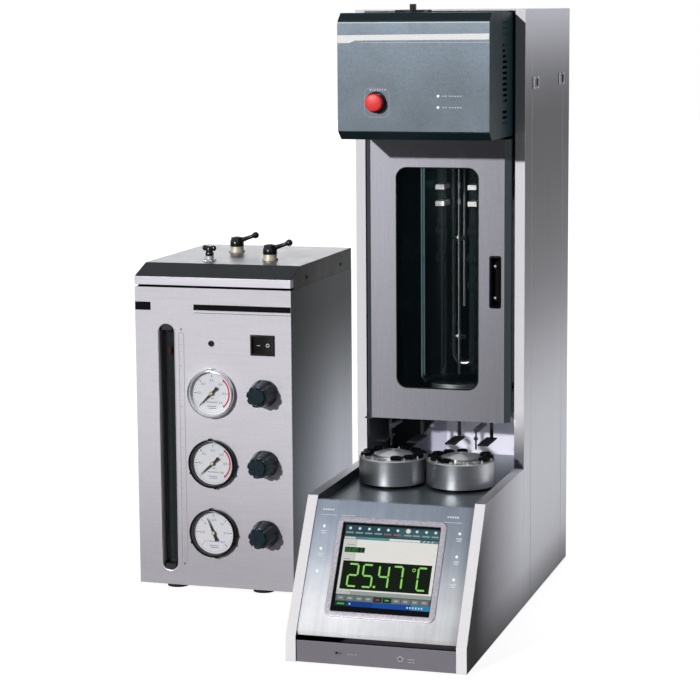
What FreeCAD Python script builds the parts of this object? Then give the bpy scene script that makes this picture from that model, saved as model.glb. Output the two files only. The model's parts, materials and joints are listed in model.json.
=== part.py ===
import FreeCAD, Part
import math
import os

# Kinematic viscosity tester: a bath tower with its sample deck and touch screen,
# and the pressure and vacuum supply cabinet that stands beside it.
# All sizes are millimetres. +X is right, +Y is back, +Z is up, and Z = 0 is the table.

Vec = FreeCAD.Vector
X_AXIS = Vec(1, 0, 0)
Y_AXIS = Vec(0, 1, 0)
Z_AXIS = Vec(0, 0, 1)

# Main cabinet: outer form
main_width = 214.0
main_depth = 576.0
tower_height = 740.0
tower_front = 300.0
side_wall = 12.4
nose_height = 30.0
slope_run = 91.7
shoulder_height = 176.3
pad_height = 2.0
pad_radius = 12.0
pad_inset = 40.0
sheet = 2.0
seam_width = 0.8
seam_depth = 0.8
seam_from_edge = 41.5

# Running fits and free gaps
shaft_fit = 0.05
free_gap = 0.3

# Control panel and touch screen, measured up the slope
panel_start = 8.6
panel_end = 168.0
panel_recess = 1.5
panel_lip = 5.5
panel_top_flange = 6.0
bezel_width = 131.0
bezel_height = 122.0
bezel_rise = 2.0
bezel_corner = 8.0
screen_width = 118.0
screen_height = 107.5
screen_corner = 2.0
screen_depth = 5.0
screen_sink = 0.7
screen_mid = 87.6
fascia_height = 25.5
fascia_setback = 2.0

# Sample deck and bay
deck_height = 164.0
bay_depth = 143.0
bath_floor = 239.0
bath_plate_thick = 8.0
bath_plate_front = 304.0

# Sample carousels and their vials
carousel_pitch = 85.0
carousel_y = 236.0
carousel_radius = 42.0
carousel_height = 31.5
carousel_foot_height = 2.7
carousel_foot_radius = 38.0
carousel_edge = 1.0
dish_radius = 24.0
dish_rise = 2.5
vial_count = 12
vial_circle = 33.5
vial_phase = 20.0
vial_radius = 6.2
vial_wall = 0.9
vial_depth = 29.0
vial_proud = 1.2
vial_cap_radius = 6.7
vial_cap_height = 3.0
vial_cap_hole = 3.4
open_vials = (0, 4, 5)
spindle_radius = 6.0
spindle_length = 28.0
motor_size = 48.0
motor_height = 55.0
motor_flange = 4.0

# Sampling needles and sensing arms
needle_radius = 1.1
needle_tip = 204.5
needle_collar_radius = 2.6
needle_collar_height = 3.0
needle_collar_rise = 12.0
needle_travel = 20.0
arm_width = 4.0
arm_height = 5.0
arm_height_above_deck = 62.0
rod_radius = 2.5
rod_setback = 12.0
rod_top_spare = 3.0
sensor_spread = 20.5
sensor_offset = 2.0
sensor_width = 13.0
sensor_reach = 48.0
sensor_strap = 4.0
sensor_thick = 2.0
sensor_setback = 4.0
sensor_height = 211.0

# Bath chamber behind the door
jar_y = 400.0
jar_radius = 48.5
jar_wall = 3.0
jar_floor = 4.0
jar_base_height = 22.0
jar_base_radius = 46.0
jar_top = 578.0
chamber_depth = 170.0
head_plate_thick = 12.0
head_plate_front = 330.0
stirrer_radius = 2.0
stirrer_low = 276.0
impeller_radius = 9.0
impeller_hub = 3.5
impeller_height = 6.0
impeller_heights = (324.0, 451.0)
impeller_blades = 3
stirrer_motor_radius = 21.0
stirrer_motor_height = 62.0
stirrer_bearing = 12.0
tube_spread = 21.0
tube_leg_gap = 20.0
tube_front_radius = 4.5
tube_rear_radius = 3.0
tube_bottom = 289.0
tube_above_head = 22.0
bulb_radius = 7.5
bulb_heights = (392.0, 426.0, 460.0)
clip_heights = (496.0, 517.0)
clip_width = 11.5
clip_height = 6.0
heater_radius = 4.0
heater_spread = 15.0
heater_setback = 30.0
heater_bottom = 300.0
probe_above_heater = 60.0
probe_radius = 2.5
probe_offset = 30.0

# Door
door_face_y = 287.2
door_side_gap = 3.3
door_bevel = 6.8
door_bottom = 235.0
door_top = 583.5
door_depth = 14.8
door_skin = 2.0
window_width = 104.8
window_bottom = 274.0
window_top = 549.0
window_corner = 14.0
glass_thick = 2.5
glass_lap = 7.0
handle_x = 73.2
handle_z = 409.6
handle_width = 15.2
handle_height = 65.0
handle_wall = 1.8
handle_depth = 9.0
handle_rim = 0.8
hinge_pin_radius = 2.0
hinge_inset = 3.4
hinge_pin_y = 296.0
hinge_pin_length = 8.0
hinge_leaf = 1.6
hinge_gap = 0.5
hinge_leaf_width = 11.0
hinge_leaf_height = 26.0
door_block = 12.0

# Head over the door
head_side_gap = 3.0
head_front = 173.0
head_bottom = 588.0
head_top = 736.5
head_bevel_y = 14.0
head_bevel_z = 10.5
head_skin = 1.6
head_ear = 16.0
head_panel_thick = 2.0
vent_length = 23.0
vent_height = 3.0
vent_pitch = 6.6
vent_slot_counts = (3, 11, 3)
vent_y = 255.2
vent_top = 724.0
vent_group_gap = 6.6
button_x = -44.5
button_z = 632.5
button_radius = 10.4
button_height = 9.0
button_rise = 4.5
button_stem = 8.0
button_stem_length = 14.0
button_travel = 4.0
cap_x = -16.0
cap_y = 236.0
cap_radius = 22.0
cap_height = 3.0
cap_knob_radius = 4.0
cap_knob_height = 7.0

# Data sockets on the right side of the tower
socket_first_y = 358.4
socket_second_y = 518.6
socket_z = 650.0
socket_width = 33.0
socket_height = 15.0
socket_rise = 1.4
socket_shell_width = 17.0
socket_shell_height = 11.5
socket_depth = 8.0
socket_shell_wall = 1.0
socket_shell_rise = 2.6

# Indicator lamps
lamp_radius = 1.6
lamp_rise = 0.8
lamp_length = 6.0
head_lamp_x = 30.7
head_lamp_z = (626.8, 640.0)
panel_lamp_x = 81.3
panel_lamp_up = (80.2, 107.7, 135.5)
supply_lamp_radius = 2.6

# Rear connections
inlet_width = 50.0
inlet_height = 30.0
inlet_rise = 3.0
inlet_mouth_width = 24.0
inlet_mouth_height = 16.0
inlet_depth = 16.0
inlet_blade_length = 9.0
inlet_blade_width = 2.0
inlet_blade_height = 4.0
inlet_blade_pitch = 7.0
inlet_z = 60.0
inlet_x = -50.0
port_x = 36.0
port_pitch = 26.0
port_z = 60.0
port_radius = 7.0
port_ring_radius = 5.2
port_bore = 3.1
port_depth = 14.0
port_length = 13.0
port_ring_length = 2.5
port_count = 2

# Supply cabinet: outer form
cabinet_gap = 82.0
supply_width = 210.0
supply_front_y = 285.0
supply_depth = 268.6
supply_foot = 5.0
supply_foot_radius = 14.0
supply_foot_inset_x = 46.0
supply_foot_inset_y = 18.0
supply_body_top = 391.4
supply_lid_top = 418.5
lid_bevel_run = 40.4
trim_height = 10.7
trim_low = 394.3
trim_depth = 12.0

# Supply cabinet: level window
slot_offset = -62.7
slot_width = 21.6
slot_bottom = 21.5
slot_top = 344.5
level_tube_radius = 4.5
level_tube_wall = 0.9
level_tube_setback = 13.0
level_end_height = 14.0
level_end_width = 14.0
float_radius = 3.3
float_height = 10.0
float_z = 304.0
float_down = 240.0
float_up = 16.0

# Supply cabinet: gauges
gauge_offset = -1.8
gauge_low_z = 75.0
gauge_pitch = 91.0
gauge_count = 3
gauge_bezel_radius = 31.5
gauge_bezel_wall = 3.0
gauge_case_radius = 29.0
gauge_rise = 9.0
gauge_case_depth = 26.0
dial_sink = 7.5
lens_thick = 1.6
lens_sink = 1.2
hand_length = 21.0
hand_tail = 11.0
hand_width = 1.8
hand_thick = 0.8
hand_hub = 2.6
hand_gap = 1.0
hand_stem = 1.0
hand_stem_length = 5.0
hand_angles = (113.0, 222.0, 224.0)

# Supply cabinet: regulators
knob_offset = 68.5
knob_above_gauge = 3.0
knob_radius = 17.0
knob_front_radius = 12.0
knob_length = 27.0
knob_cap_radius = 10.0
knob_cap_rise = 2.5
knob_flutes = 8
knob_flute_radius = 4.0
knob_flute_depth = 1.3
knob_gap = 0.4
knob_stem = 3.0
knob_stem_length = 12.0
regulator_radius = 15.0
regulator_depth = 42.0
regulator_nut_radius = 12.0
regulator_nut_height = 2.5

# Supply cabinet: rocker switch
switch_offset = 67.0
switch_z = 321.0
switch_width = 32.0
switch_height = 26.4
switch_rise = 2.2
switch_body_depth = 18.0
switch_wall = 2.6
rocker_tilt = 11.0
rocker_half = 12.0
rocker_front = 4.6
rocker_ridge = 2.0
rocker_back = 5.0
rocker_pivot = 1.5
rocker_pivot_depth = 1.0
rocker_axis_setback = 3.0

# Supply cabinet: valves on the lid
lever_spots = ((-29.6, 183.0), (45.5, 98.0))
vent_spot = (-29.1, 73.5)
valve_base_radius = 10.4
valve_base_height = 7.5
valve_base_waist = 8.8
lever_hub_radius = 9.2
lever_hub_height = 12.4
lever_reach = 25.5
lever_lift = 6.0
lever_ball = 4.4
lever_arm = 2.7
lever_angle = 8.0
lever_stem = 3.0
lever_stem_length = 5.0
vent_base_radius = 9.4
vent_base_height = 6.5
vent_points = 6
vent_stem = 2.5
vent_knob_radius = 5.4
vent_knob_height = 9.6
vent_wing = 9.8
vent_wing_width = 5.6
vent_wing_height = 6.2

# Inside the supply cabinet
tank_radius = 52.0
tank_height = 250.0
tank_offset_x = 8.0
tank_offset_y = 175.0
tank_low = 12.0

# Worked-out places
base_z = pad_height
inner_x = main_width / 2 - side_wall
slope_angle = math.degrees(math.atan2(shoulder_height - nose_height, slope_run))
supply_mid_x = -(main_width / 2 + cabinet_gap + supply_width / 2)
supply_left_x = supply_mid_x - supply_width / 2
supply_right_x = supply_mid_x + supply_width / 2
supply_back_y = supply_front_y + supply_depth
supply_z = base_z
back_wall_y = main_depth - sheet
bay_back_y = tower_front + bay_depth
chamber_back_y = tower_front + chamber_depth
bath_top_z = bath_floor + bath_plate_thick
jar_bottom_z = bath_top_z + jar_base_height
head_plate_top_z = jar_top + head_plate_thick
carousel_bottom_z = deck_height + free_gap
carousel_top_z = carousel_bottom_z + carousel_foot_height + carousel_height
dial_y = supply_front_y - gauge_rise + dial_sink
head_width = 2 * (inner_x - head_side_gap)
door_half_width = inner_x - door_side_gap


def box(x0, x1, y0, y1, z0, z1):
    """A block between two corners."""
    return Part.makeBox(x1 - x0, y1 - y0, z1 - z0, Vec(x0, y0, z0))


def rod(radius, start, length, axis=Z_AXIS):
    """A round bar from a start point along an axis."""
    return Part.makeCylinder(radius, length, Vec(*start), axis)


def face_of(points):
    """A flat face inside a closed outline."""
    return Part.Face(Part.makePolygon(points + points[:1]))


def side_prism(outline, x0, x1):
    """An outline in the Y-Z plane, carried from x0 to x1."""
    points = [Vec(x0, y, z) for y, z in outline]
    return face_of(points).extrude(Vec(x1 - x0, 0, 0))


def plan_prism(outline, z0, z1):
    """An outline in the X-Y plane, carried from z0 to z1."""
    points = [Vec(x, y, z0) for x, y in outline]
    return face_of(points).extrude(Vec(0, 0, z1 - z0))


def folded_sheet(path, thickness, x0, x1):
    """A sheet folded along a path of (y, z) points, with its thickness on the right of the path."""
    points = [Vec(0, y, z) for y, z in path]
    normals = []
    for start, end in zip(points, points[1:]):
        run = (end - start).normalize()
        normals.append(Vec(0, run.z, -run.y))
    inner = [points[0] + normals[0] * thickness]
    for corner, before, after in zip(points[1:], normals, normals[1:]):
        mitre = before + after
        inner.append(corner + mitre * (2 * thickness / mitre.dot(mitre)))
    inner.append(points[-1] + normals[-1] * thickness)
    outline = [(p.y, p.z) for p in points + inner[::-1]]
    return side_prism(outline, x0, x1)


def round_slab(width, height, thickness, corner):
    """A plate with rounded corners, centred on the origin, its thickness along +Z."""
    plate = box(-width / 2, width / 2, -height / 2, height / 2, 0, thickness)
    upright = [e for e in plate.Edges if abs(e.tangentAt(e.FirstParameter).z) > 0.9]
    return plate.makeFillet(corner, upright)


def upright_slab(width, height, thickness, corner, middle):
    """A rounded plate that stands upright, its front face on the given middle point."""
    plate = round_slab(width, height, thickness, corner)
    plate.rotate(Vec(0, 0, 0), X_AXIS, -90)
    plate.translate(Vec(*middle))
    return plate


def on_slope(shape, up, out=0.0):
    """Carries a flat shape from the X-Y plane to the control panel, up its slope."""
    turned = shape.copy()
    turned.translate(Vec(0, up, out))
    turned.rotate(Vec(0, 0, 0), X_AXIS, slope_angle)
    turned.translate(Vec(0, 0, base_z + nose_height))
    return turned


def slope_point(up, out=0.0):
    """The (y, z) point at a distance up the slope and out from it."""
    angle = math.radians(slope_angle)
    y = up * math.cos(angle) - out * math.sin(angle)
    z = base_z + nose_height + up * math.sin(angle) + out * math.cos(angle)
    return y, z


def lifted(z):
    """A height above the cabinet's underside, as a height above the table."""
    return base_z + z


def circles_at(shape, z):
    """The round edges of a shape that lie at one height."""
    return [e for e in shape.Edges if e.Curve.TypeId == "Part::GeomCircle"
            and abs(e.CenterOfMass.z - z) < 0.01]


def joined(shapes):
    """Separate solids of one node, kept side by side."""
    return Part.makeCompound(shapes)


def fused(shapes):
    """Several solids melted into one."""
    body = shapes[0].multiFuse(shapes[1:])
    return body.removeSplitter()


def mirrored(shape):
    """The same shape on the other side of the main cabinet's middle."""
    return shape.mirror(Vec(0, 0, 0), X_AXIS)


# Main cabinet: side walls and covers

def cheek(side):
    """The low side wall beside the control panel and deck."""
    outer = side * main_width / 2
    inner = side * inner_x
    outline = [(0, base_z), (tower_front, base_z), (tower_front, lifted(shoulder_height)),
               (slope_run, lifted(shoulder_height)), (0, lifted(nose_height))]
    wall = side_prism(outline, min(inner, outer), max(inner, outer))
    nose = [e for e in wall.Edges if abs(e.Vertexes[0].Point.z - lifted(nose_height)) < 0.01
            and abs(e.Vertexes[1].Point.z - lifted(nose_height)) < 0.01
            and e.Vertexes[0].Point.y < 1.0 and e.Vertexes[1].Point.y < 1.0]
    return wall.makeFillet(seam_width * 4, nose)


def tower_side(side):
    """The tall side wall, with two seam grooves on its outside."""
    outer = side * main_width / 2
    inner = side * inner_x
    wall = box(min(inner, outer), max(inner, outer), tower_front, main_depth,
               base_z, lifted(tower_height))
    for groove_y in (tower_front + seam_from_edge, main_depth - seam_from_edge):
        cut_x = outer - side * seam_depth
        wall = wall.cut(box(min(cut_x, outer), max(cut_x, outer), groove_y,
                            groove_y + seam_width, base_z, lifted(tower_height)))
    if side > 0:
        wall = wall.cut(joined([socket_shell(y) for y in (socket_first_y, socket_second_y)]))
    return wall


def base_pan():
    """The floor sheet, with the fascia folded up at its front."""
    path = [(back_wall_y, base_z), (fascia_setback, base_z),
            (fascia_setback, lifted(fascia_height))]
    return folded_sheet(path, sheet, -inner_x, inner_x)


def tower_cover():
    """The back sheet folded over into the tower's top, with two rows of cooling slots."""
    path = [(main_depth, base_z + sheet), (main_depth, lifted(tower_height)),
            (tower_front, lifted(tower_height))]
    cover = folded_sheet(path[::-1], sheet, -inner_x, inner_x)
    slots = []
    for row in range(10):
        slot_z = lifted(tower_height * 0.62 + row * 14.0)
        for middle in (-inner_x / 2, inner_x / 2):
            slots.append(box(middle - 30, middle + 30, back_wall_y - sheet, main_depth + sheet,
                             slot_z, slot_z + 4.0))
    return cover.cut(joined(slots))


def control_panel():
    """The folded sloping panel: a lip at the bottom, the slope, and a flange onto the deck."""
    low_y, low_z = slope_point(panel_start, -panel_recess)
    high_y, high_z = slope_point(panel_end, -panel_recess)
    path = [(low_y, low_z - panel_lip), (low_y, low_z), (high_y, high_z),
            (high_y + panel_top_flange, high_z), (high_y + panel_top_flange, lifted(deck_height))]
    panel = folded_sheet(path, sheet, -inner_x, inner_x)
    opening = round_slab(screen_width, screen_height, 4 * sheet, screen_corner)
    panel = panel.cut(on_slope(opening, screen_mid, -panel_recess - 2 * sheet))
    holes = [on_slope(rod(lamp_radius, (x, up, -10), 20), 0.0)
             for x in (-panel_lamp_x, panel_lamp_x) for up in panel_lamp_up]
    return panel.cut(joined(holes))


def deck_edge_y():
    """Where the control panel's rear flange meets the deck."""
    return slope_point(panel_end, -panel_recess)[0] + panel_top_flange


def carousel_deck():
    """The polished floor under the carousels, back to the bay's rear wall."""
    deck = box(-inner_x, inner_x, deck_edge_y(), bay_back_y,
               lifted(deck_height) - sheet, lifted(deck_height))
    for side in (-1, 1):
        hole = rod(spindle_radius + 1.0, (side * carousel_pitch / 2, carousel_y, 0), tower_height)
        deck = deck.cut(hole)
    return deck


def inner_panels():
    """The bay's polished rear wall and the dark wall behind the bath."""
    bay_wall = box(-inner_x, inner_x, bay_back_y, bay_back_y + sheet,
                   lifted(deck_height) - sheet, lifted(bath_floor))
    chamber_wall = box(-inner_x, inner_x, chamber_back_y, chamber_back_y + sheet,
                       lifted(bath_top_z), lifted(head_plate_top_z))
    return joined([bay_wall, chamber_wall])


def bath_plate():
    """The thick shelf across the tower, with the jar's round base and the needle bushes."""
    plate = box(-inner_x, inner_x, bath_plate_front, chamber_back_y + 20.0,
                lifted(bath_floor), lifted(bath_top_z))
    base = rod(jar_base_radius, (0, jar_y, lifted(bath_top_z)), jar_base_height)
    plate = fused([plate, base])
    for side in (-1, 1):
        needle_x, _ = needle_spot(side)
        hole = rod(rod_radius + shaft_fit, (needle_x, rod_y(), lifted(bath_floor) - 5), 30)
        plate = plate.cut(hole)
    return plate


def screen_bezel():
    """The bright frame round the touch screen."""
    frame = round_slab(bezel_width, bezel_height, bezel_rise, bezel_corner)
    top = [e for e in frame.Edges if min(v.Point.z for v in e.Vertexes) > bezel_rise - 0.01]
    frame = frame.makeChamfer(bezel_rise * 0.4, top)
    opening = round_slab(screen_width, screen_height, 4 * bezel_rise, screen_corner)
    opening.translate(Vec(0, 0, -bezel_rise))
    return on_slope(frame.cut(opening), screen_mid, -panel_recess)


def touch_screen():
    """The display module, its glass a little below the frame."""
    glass_top = bezel_rise - screen_sink - panel_recess
    glass = round_slab(screen_width, screen_height, screen_depth, screen_corner)
    return on_slope(glass, screen_mid, glass_top - screen_depth)


# Carousels, vials and needles

def pocket_angles(side):
    """Angles from +X of the twelve pockets, the first one under the needle."""
    first = 90.0 - side * vial_phase
    return [first - side * step * 360.0 / vial_count for step in range(vial_count)]


def pocket_spot(side, angle):
    """The middle of a pocket at a given angle on the left (-1) or right (1) carousel."""
    turn = math.radians(angle)
    middle = side * carousel_pitch / 2
    return middle + vial_circle * math.cos(turn), carousel_y + vial_circle * math.sin(turn)


def needle_spot(side):
    """The pocket that the needle dips into."""
    return pocket_spot(side, pocket_angles(side)[0])


def rod_y():
    """The needle's lifting rod stands just behind the door."""
    return tower_front + rod_setback


def carousel(side):
    """A turned drum with twelve pockets, a raised middle, a foot and a driving spindle."""
    middle = side * carousel_pitch / 2
    low = lifted(carousel_bottom_z)
    drum_low = low + carousel_foot_height
    top = lifted(carousel_top_z)
    drum = rod(carousel_radius, (middle, carousel_y, drum_low), carousel_height)
    drum = drum.makeChamfer(carousel_edge, circles_at(drum, top))
    foot = rod(carousel_foot_radius, (middle, carousel_y, low), carousel_foot_height)
    spindle = rod(spindle_radius, (middle, carousel_y, low - spindle_length), spindle_length)
    ball_radius = (dish_radius ** 2 + dish_rise ** 2) / (2 * dish_rise)
    ball = Part.makeSphere(ball_radius, Vec(middle, carousel_y, top + dish_rise - ball_radius))
    dome = ball.common(rod(dish_radius + 1, (middle, carousel_y, top - 1), dish_rise + 2))
    drum = fused([drum, foot, spindle, dome])
    pockets = []
    for angle in pocket_angles(side):
        x, y = pocket_spot(side, angle)
        pockets.append(rod(vial_radius, (x, y, top - vial_depth), vial_depth + 5))
    return drum.cut(joined(pockets))


def vials(side):
    """Twelve glass vials seated in the pockets, most with a ring cap, some open."""
    top = lifted(carousel_top_z)
    solids = []
    for index, angle in enumerate(pocket_angles(side)):
        x, y = pocket_spot(side, angle)
        height = vial_depth + vial_proud
        glass = rod(vial_radius, (x, y, top - vial_depth), height)
        inside = rod(vial_radius - vial_wall, (x, y, top - vial_depth + vial_wall), height)
        glass = glass.cut(inside)
        if index not in open_vials:
            cap_z = top + vial_proud
            cap = rod(vial_cap_radius, (x, y, cap_z), vial_cap_height)
            cap = cap.cut(rod(vial_cap_hole, (x, y, cap_z - 1), vial_cap_height + 2))
            glass = fused([glass, cap])
        solids.append(glass)
    return joined(solids)


def carousel_motors():
    """Two gear motors hung under the deck, each with a bearing for its carousel's spindle."""
    solids = []
    top = lifted(deck_height) - sheet
    for side in (-1, 1):
        x = side * carousel_pitch / 2
        half = motor_size / 2
        body = box(x - half, x + half, carousel_y - half, carousel_y + half,
                   top - motor_height, top - motor_flange)
        flange = rod(half * 1.3, (x, carousel_y, top - motor_flange), motor_flange)
        bearing = rod(spindle_radius + shaft_fit, (x, carousel_y, top - spindle_length - 4),
                      spindle_length + motor_height)
        solids.append(fused([body, flange]).cut(bearing))
    return joined(solids)


def needle(side):
    """A thin sampling needle on an arm, with the rod that lifts and lowers it."""
    x, y = needle_spot(side)
    tip = lifted(needle_tip)
    arm_low = lifted(deck_height + arm_height_above_deck)
    back = rod_y()
    tube = rod(needle_radius, (x, y, tip), arm_low + 1 - tip)
    collar = rod(needle_collar_radius, (x, y, tip + needle_collar_rise), needle_collar_height)
    arm = box(x - arm_width / 2, x + arm_width / 2, y - arm_width / 2, back + rod_radius,
              arm_low, arm_low + arm_height)
    rod_top = lifted(bath_top_z) + needle_travel + rod_top_spare
    lift = rod(rod_radius, (x, back, arm_low), rod_top - arm_low)
    return fused([arm, tube, collar, lift])


def sensor_arms():
    """Two black arms over the rear of each carousel, hung from the bath's shelf."""
    solids = []
    strap_y = tower_front + sensor_setback
    for side in (-1, 1):
        middle = side * (carousel_pitch / 2 + sensor_offset)
        for across in (-sensor_spread, sensor_spread):
            x = middle + across
            strap = box(x - sensor_strap / 2, x + sensor_strap / 2, strap_y,
                        strap_y + sensor_thick, lifted(sensor_height), lifted(bath_floor))
            foot = box(x - sensor_width / 2, x + sensor_width / 2, strap_y - sensor_reach,
                       strap_y + sensor_thick, lifted(sensor_height),
                       lifted(sensor_height) + sensor_thick)
            solids.append(fused([strap, foot]))
    return joined(solids)


# Bath: jar, head, tubes, stirrer and heater

def bath_jar():
    """The thick glass jar that holds the bath liquid."""
    height = lifted(jar_top) - lifted(jar_bottom_z)
    outer = rod(jar_radius, (0, jar_y, lifted(jar_bottom_z)), height)
    inner = rod(jar_radius - jar_wall, (0, jar_y, lifted(jar_bottom_z) + jar_floor), height)
    return outer.cut(inner)


def tube_legs(side):
    """The two leg centres of one measuring tube."""
    x = side * tube_spread
    return (x, jar_y - tube_leg_gap / 2), (x, jar_y + tube_leg_gap / 2)


def heater_spots():
    """The heater's two leg centres."""
    y = jar_y + heater_setback
    return (-heater_spread, y), (heater_spread, y)


def probe_spot():
    """The temperature probe's centre."""
    return 0.0, jar_y + probe_offset


def bath_head():
    """The plate that closes the jar and carries tubes, heater, probe and stirrer motor."""
    plate = box(-inner_x, inner_x, head_plate_front, chamber_back_y,
                lifted(jar_top), lifted(head_plate_top_z))
    holes = [rod(stirrer_radius + free_gap, (0, jar_y, lifted(jar_top) - 1), 30)]
    for side in (-1, 1):
        front, rear = tube_legs(side)
        holes.append(rod(tube_front_radius, (*front, lifted(jar_top) - 1), 30))
        holes.append(rod(tube_rear_radius, (*rear, lifted(jar_top) - 1), 30))
    for spot in heater_spots():
        holes.append(rod(heater_radius, (*spot, lifted(jar_top) - 1), 30))
    holes.append(rod(probe_radius, (*probe_spot(), lifted(jar_top) - 1), 30))
    return plate.cut(joined(holes))


def bent_tube(start, end, radius_start, radius_end, low, high):
    """Two upright legs and the half-round bend that joins them at the bottom."""
    middle = (Vec(*start, low) + Vec(*end, low)) * 0.5
    span = (Vec(*end, 0) - Vec(*start, 0)).Length
    bend_radius = min(radius_start, radius_end)
    ring = Part.makeTorus(span / 2, bend_radius, Vec(0, 0, 0), Z_AXIS)
    half = ring.common(box(-span, span, -span, 0, -span, span))
    half.rotate(Vec(0, 0, 0), X_AXIS, 90)
    across = math.degrees(math.atan2(end[1] - start[1], end[0] - start[0]))
    half.rotate(Vec(0, 0, 0), Z_AXIS, across)
    half.translate(middle)
    legs = [rod(radius_start, (*start, low), high - low), rod(radius_end, (*end, low), high - low)]
    return fused([legs[0], half, legs[1]])


def viscometer_tubes():
    """Two glass measuring tubes, each a U with three bulbs on its front leg."""
    solids = []
    high = lifted(head_plate_top_z) + tube_above_head
    for side in (-1, 1):
        front, rear = tube_legs(side)
        tube = bent_tube(front, rear, tube_front_radius, tube_rear_radius,
                         lifted(tube_bottom), high)
        bulbs = [Part.makeSphere(bulb_radius, Vec(*front, lifted(z))) for z in bulb_heights]
        solids.append(fused([tube] + bulbs))
    return joined(solids)


def tube_clips():
    """White clips that tie the two legs of each measuring tube together."""
    solids = []
    for side in (-1, 1):
        front, rear = tube_legs(side)
        x = front[0]
        for z in clip_heights:
            block = box(x - clip_width / 2, x + clip_width / 2, front[1] - tube_front_radius - 2,
                        rear[1] + tube_rear_radius + 2, lifted(z) - clip_height / 2,
                        lifted(z) + clip_height / 2)
            block = block.cut(rod(tube_front_radius, (*front, lifted(z) - 10), 20))
            block = block.cut(rod(tube_rear_radius, (*rear, lifted(z) - 10), 20))
            solids.append(block)
    return joined(solids)


def stirrer():
    """The steel stirrer shaft with its impellers."""
    shaft_top = lifted(head_plate_top_z) + stirrer_bearing
    shaft = rod(stirrer_radius, (0, jar_y, lifted(stirrer_low)), shaft_top - lifted(stirrer_low))
    pieces = [shaft]
    for z in impeller_heights:
        low = lifted(z) - impeller_height / 2
        pieces.append(rod(impeller_hub, (0, jar_y, low), impeller_height))
        for turn in range(impeller_blades):
            blade = box(0, impeller_radius, -0.6, 0.6, 0, impeller_height)
            blade.rotate(Vec(0, 0, impeller_height / 2), X_AXIS, 35)
            blade.rotate(Vec(0, 0, 0), Z_AXIS, turn * 360.0 / impeller_blades)
            blade.translate(Vec(0, jar_y, low))
            pieces.append(blade)
    return fused(pieces)


def stirrer_motor():
    """The motor on the bath head, with a bearing for the stirrer shaft."""
    low = lifted(head_plate_top_z)
    body = rod(stirrer_motor_radius * 0.8, (0, jar_y, low + 4), stirrer_motor_height)
    foot = box(-stirrer_motor_radius * 0.78, stirrer_motor_radius * 0.78, jar_y - 4.8, jar_y + 4.8,
               low, low + 4)
    bearing = rod(stirrer_radius + shaft_fit, (0, jar_y, low - 1), stirrer_bearing + 3)
    return fused([body, foot]).cut(bearing)


def bath_heater():
    """The heating loop at the back of the jar, and the temperature probe."""
    start, end = heater_spots()
    high = lifted(head_plate_top_z) + tube_above_head
    loop = bent_tube(start, end, heater_radius, heater_radius, lifted(heater_bottom), high)
    probe = rod(probe_radius, (*probe_spot(), lifted(heater_bottom) + probe_above_heater), high
                - lifted(heater_bottom) - probe_above_heater)
    return joined([loop, probe])


# Door

def door_shell():
    """The hollow door pan with bevelled edges, its window, grip hole and hinge blocks."""
    half = door_half_width
    face = half - door_bevel
    front = door_face_y
    back = front + door_depth
    outer = plan_prism([(-face, front), (face, front), (half, front + door_bevel), (half, back),
                        (-half, back), (-half, front + door_bevel)],
                       lifted(door_bottom), lifted(door_top))
    skin = door_skin
    inner = plan_prism([(-face, front + skin), (face, front + skin),
                        (half - skin, front + door_bevel + skin * 0.4), (half - skin, back + 1),
                        (skin - half, back + 1), (skin - half, front + door_bevel + skin * 0.4)],
                       lifted(door_bottom) + skin, lifted(door_top) - skin)
    shell = outer.cut(inner)
    window = upright_slab(window_width, window_top - window_bottom, door_depth, window_corner,
                          (0, front - 1, lifted(window_bottom + window_top) / 2
                           + base_z / 2))
    grip = upright_slab(handle_width - 2 * handle_wall, handle_height - 2 * handle_wall,
                        door_depth, 2.0, (handle_x, front - 1, lifted(handle_z)))
    shell = shell.cut(window).cut(grip)
    blocks = []
    for z in (lifted(door_bottom), lifted(door_top) - door_block):
        blocks.append(box(-half, -half + door_block * 0.8, front + door_bevel + 1, back,
                          z, z + door_block))
    shell = fused([shell] + blocks)
    for z, way in ((lifted(door_bottom), 1), (lifted(door_top), -1)):
        start = z - 1 if way > 0 else z - hinge_pin_length - 1
        hole = rod(hinge_pin_radius + shaft_fit, (hinge_x(), hinge_pin_y, start),
                   hinge_pin_length + 2)
        shell = shell.cut(hole)
    return shell


def hinge_x():
    """The door's upright hinge line, just inside its left edge."""
    return -door_half_width + hinge_inset


def door_glass():
    """The window pane, held against the back of the door's face."""
    return upright_slab(window_width + 2 * glass_lap, window_top - window_bottom + 2 * glass_lap,
                        glass_thick, window_corner + glass_lap,
                        (0, door_face_y + door_skin,
                         lifted(window_bottom + window_top) / 2 + base_z / 2))


def door_handle():
    """The black recessed finger grip let into the door."""
    middle = (handle_x, door_face_y - handle_rim, lifted(handle_z))
    rim = upright_slab(handle_width, handle_height, handle_rim, 2.5, middle)
    body = upright_slab(handle_width - 2 * handle_wall, handle_height - 2 * handle_wall,
                        handle_depth + handle_rim, 2.0, middle)
    hollow = upright_slab(handle_width - 4 * handle_wall, handle_height - 4 * handle_wall,
                          handle_depth, 1.5, (handle_x, door_face_y - handle_rim - 1,
                                              lifted(handle_z)))
    return fused([rim, body]).cut(hollow)


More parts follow.
